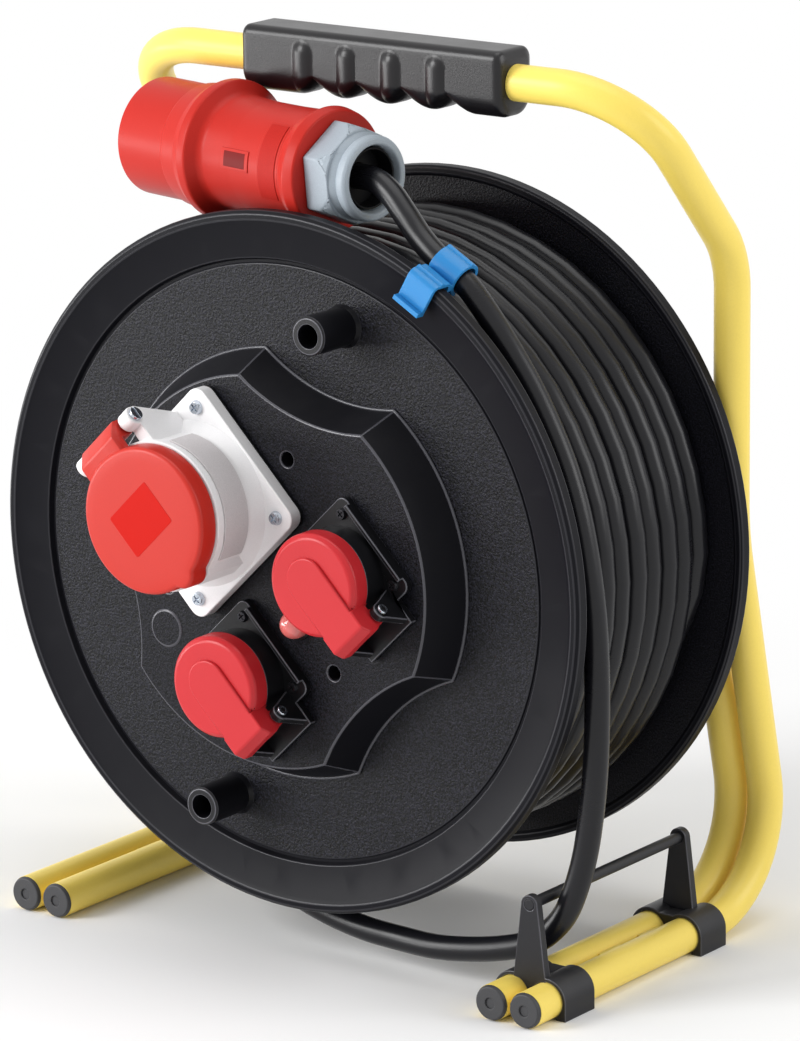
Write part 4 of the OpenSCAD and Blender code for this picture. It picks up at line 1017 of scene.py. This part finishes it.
def round_lid(name, body, steps=240):
    """Lid turned from rows of (radius, inset, height); radius None is the outline."""
    section = [
        (0.02, 0, 56.4), (26.9, 0, 56.4), (27.4, 0, 55.9), (27.4, 0, 50.2), (27.6, 0, 50),
        (28.5, 0, 50), (28.5, 0, 51.2), (31, 0, 51.2), (31, 0, 50),
        (None, 0.3, 50), (None, 0.05, 50.1), (None, 0, 50.4), (None, 0, 54), (None, 0, 57.8)]
    for k in range(1, 7):
        a = math.radians(15 * k)
        section.append((None, 2 - 2 * math.cos(a), 57.8 + 2 * math.sin(a)))
    section += [(None, 6, 59.84), (18, 0, 59.88), (0.02, 0, 59.88)]
    form = bmesh.new()
    rings = []
    for fixed, inset, height in section:
        ring = []
        for k in range(steps):
            a = math.tau * k / steps
            r = fixed if fixed is not None else lid_outline(a) - inset
            ring.append(form.verts.new((r * math.cos(a), LID_CENTRE + r * math.sin(a), height)))
        rings.append(ring)
    skin(form, rings)
    return piece_from(form, name, drum_place, body, sharp=35)


# %% Helper: strap round a hinge pin
def hinge_strap(name, outline, half_width, slot, slot_floor, rounding, body):
    """Bar along x from an outline of (y, z); below slot_floor its middle is left open."""
    stations = [(half_width, rounding), (half_width - 0.3 * rounding, 0.3 * rounding),
                (half_width - rounding, 0), (slot, 0), (slot - 0.02, None)]
    stations = [(-x, inset) for x, inset in stations] + [(x, i) for x, i in reversed(stations)]
    count = len(outline)
    form = bmesh.new()
    rings = []
    for x, inset in stations:
        ring = []
        for i, point in enumerate(outline):
            along = (outline[(i + 1) % count] - outline[i - 1]).normalized()
            y, z = point - Vector((along.y, -along.x)) * (inset or 0)
            ring.append(form.verts.new((x, y, max(z, slot_floor) if inset is None else z)))
        rings.append(ring)
    skin(form, rings)
    return piece_from(form, name, drum_place, body, sharp=35)


# %% Five pole lid
lid_body = dress(round_lid("cee_lid_shell", "cee_lid_body"), lid_red)
strap_outline = filleted([
    (66, 52, 0), (75.2, 52, 0.8), (75.2, 42.7, 4.2), (83.8, 42.7, 4.2), (83.4, 52.4, 4),
    (76.6, 58.7, 3), (66, 58.7, 0)])
lid_strap = hinge_strap(
    "cee_lid_strap", strap_outline, half_width=12, slot=4, slot_floor=51.2, rounding=0.9,
    body="cee_lid_body")
dress(lid_strap, lid_red)
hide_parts("cee_lid")
lid_patch = flat_plate(
    "lid_blank_patch", (0, 41), (27.2, 21.2), 1.0, 59.5, 59.98, "cee_lid_body")
dress(lid_patch, label_red)
print("lid:", len(lid_body.data.polygons), "faces, strap:", len(lid_strap.data.polygons))

# %% [markdown]
# Each lid is closed by a small torsion spring: a few turns of wire round the
# hinge pin, with both ends laid against the lid. It is swept along a helix, as
# the cable is, and stands for the plain sleeve that the CAD model has there.

# %% Lid spring of the five pole outlet
def coil_spring(node, centre, radius, wire, half_length, turns, leg, per_turn=14):
    """Torsion spring round a hinge pin that lies along x; legs point into the lid."""
    points = [Vector((-half_length, centre[1] - leg, centre[2] + radius * 0.2))]
    for k in range(turns * per_turn + 1):
        a = math.tau * k / per_turn + math.pi / 2
        points.append(Vector((
            -half_length + 2 * half_length * k / (turns * per_turn),
            centre[1] + radius * math.cos(a), centre[2] + radius * math.sin(a))))
    points.append(Vector((half_length, centre[1] - leg, centre[2] + radius * 0.6)))
    shifted = [p + Vector((centre[0], 0, 0)) for p in points]
    spring = swept(node + "_coil", shifted, wire, 8, drum_place, body_of_node[node])
    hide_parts(node)
    return dress(spring, zinc_steel)


coil_spring("cee_lid_spring", (0, 79.5, 47.0), 2.85, 0.5, 2.8, 5, 4.0)

# %% [markdown]
# ## Household outlets
# Both are the same part on the left and right lobe, so one loop dresses them.
# The black flange and its ridge read only through their edges, which is why
# the edge finish is clearly lighter than the body: a painted highlight on the
# rounded edges. The lid is the brightest red on the reel, softly rounded, with a
# strap that runs down to the hinge.

# %% Household outlets and their lids
for side, across in (("a", -38.0), ("b", 38.0)):
    outlet = f"socket_{side}_"
    dress(rounded(outlet + "housing", 0.5), outlet_black, outlet_painted_highlight)
    dress(rounded(outlet + "insert", 0.4), outlet_black)
    dress(rounded(outlet + "contacts", 0.15), contact_brass)
    dress(rounded(outlet + "screws", 0.1), black_steel)
    dress(rounded(outlet + "hinge_pin", 0.3), zinc_steel)
    # A thin black disc on the end of each hinge pin is painted shade: it stands in for the dark
    # bore of a hollow rivet.
    bore_shade_place = drum_place @ Matrix.Translation((across + 15.9, -53.5, 29.0)) @ turned("Y", 90)
    bore_shade_section = [(0.02, 0.0), (1.2, 0.0), (1.05, 0.2), (0.02, 0.2)]
    dress(lathe(outlet + "pin_bore_shade", bore_shade_section, 24, bore_shade_place, "drum"), seal_rubber)
    dress(rounded(outlet + "lid", 0.9, 3), household_red)
    coil_spring(outlet + "spring", (across, -53.5, 29.0), 2.35, 0.42, 2.4, 5, -3.6)

# %% [markdown]
# ## Axle set
# The drum turns on a short steel axle that is bolted through the arch of the
# stand. From behind, the nut, washer and moulded saddles show, so they get
# their edges rounded as well; the rest sits inside the hub.

# %% Axle, saddles, washers, nut and ring
dress(rounded("axle", 0.3), zinc_steel)
dress(rounded("axle_saddles", 0.5), bracket_black)
dress(rounded("axle_washer", 0.3), zinc_steel)
dress(rounded("axle_nut", 0.6, 3), zinc_steel)
dress("axle_front_washer", zinc_steel)
dress("retaining_ring", zinc_steel)

# %% [markdown]
# ## Floor, world and lamps
# The floor is a pale sheet that takes the reel's shadow close by and fades into
# the white of the world farther off, so that no horizon shows. Light Path picks
# what the camera and reflections see, so the white costs no light on the reel.
# A large soft lamp from the front left does most of the work. A low strip on
# the same side draws the line along the rim, a sheet above lights the tubes and
# the grip, and a fourth lamp from the right keeps the winding from going black.

# %% Floor
floor_mesh = bpy.data.meshes.new("floor")
floor_mesh.from_pydata(
    [(-6, -6, 0), (6, -6, 0), (6, 6, 0), (-6, 6, 0)], [], [(0, 1, 2, 3)])
floor = bpy.data.objects.new("floor", floor_mesh)
bpy.context.scene.collection.objects.link(floor)


def seen_by_camera(tree):
    """1 for camera, glossy and transmitted rays, 0 for light that falls on the reel."""
    rays = tree.nodes.new("ShaderNodeLightPath").outputs
    seen = maths(tree, "ADD", rays["Is Camera Ray"], rays["Is Glossy Ray"])
    return maths(tree, "MINIMUM", maths(tree, "ADD", seen, rays["Is Transmission Ray"]), 1.0)


def mixed_surface(tree, share, first, second, output):
    """Send a mix of two shaders, second by share, to a tree's output node."""
    mix = tree.nodes.new("ShaderNodeMixShader")
    for socket, source in zip(mix.inputs, (share, first.outputs[0], second.outputs[0])):
        tree.links.new(source, socket)
    tree.links.new(mix.outputs[0], tree.nodes[output].inputs["Surface"])


FADE_START, FADE_END = 0.22, 0.62
sheet_paper = bpy.data.materials.new("floor_paper")
sheet_paper.use_nodes = True
tree = sheet_paper.node_tree
paper = tree.nodes["Principled BSDF"]
paper.inputs["Base Color"].default_value = (0.93, 0.93, 0.93, 1.0)
paper.inputs["Roughness"].default_value = 0.9
paper.inputs["Specular IOR Level"].default_value = 0.1
white = tree.nodes.new("ShaderNodeEmission")
white.inputs["Strength"].default_value = 1.0
away = tree.nodes.new("ShaderNodeVectorMath")
away.operation = "LENGTH"
tree.links.new(tree.nodes.new("ShaderNodeTexCoord").outputs["Object"], away.inputs[0])
fade = tree.nodes.new("ShaderNodeMapRange")
fade.interpolation_type = "SMOOTHSTEP"
fade.inputs["From Min"].default_value = FADE_START
fade.inputs["From Max"].default_value = FADE_END
tree.links.new(away.outputs["Value"], fade.inputs["Value"])
far_and_seen = maths(tree, "MULTIPLY", fade.outputs["Result"], seen_by_camera(tree))
mixed_surface(tree, far_and_seen, paper, white, "Material Output")
floor_mesh.materials.append(sheet_paper)
print("floor fades to white from", FADE_START, "to", FADE_END, "m")

# %% World
ROOM_LIGHT = 0.46
world = bpy.data.worlds.new("studio")
bpy.context.scene.world = world
world.use_nodes = True
tree = world.node_tree
room = tree.nodes["Background"]
backdrop = tree.nodes.new("ShaderNodeBackground")
for shader, strength in ((room, ROOM_LIGHT), (backdrop, 1.0)):
    shader.inputs["Color"].default_value = (1.0, 1.0, 1.0, 1.0)
    shader.inputs["Strength"].default_value = strength
mixed_surface(tree, seen_by_camera(tree), room, backdrop, "World Output")
print("world lights the reel at", ROOM_LIGHT)

# %% Lamps
def soft_lamp(name, place, aim, size, power):
    """Rectangular lamp at a place, turned to its aim; size in m, power in W."""
    data = bpy.data.lights.new(name, "AREA")
    data.shape = "RECTANGLE"
    data.size, data.size_y = size
    data.energy = power
    lamp = bpy.data.objects.new(name, data)
    bpy.context.scene.collection.objects.link(lamp)
    lamp.location = place
    lamp.rotation_mode = "QUATERNION"
    lamp.rotation_quaternion = (Vector(aim) - Vector(place)).to_track_quat("-Z", "Y")
    print("lamp", name, power, "W")


reel_middle = (0.0, 0.0, 0.2)
soft_lamp("key_left", (-1.2, -1.7, 1.1), reel_middle, (0.9, 1.1), 38)
soft_lamp("low_strip", (-1.55, -1.1, 0.14), (-0.1, 0.0, 0.2), (1.4, 0.3), 14)
soft_lamp("top_sheet", (0.1, 0.1, 2.1), reel_middle, (1.4, 1.4), 12)
soft_lamp("side_right", (1.8, 0.65, 1.0), reel_middle, (1.0, 1.2), 14)

bpy.context.scene.view_settings.view_transform = "Standard"
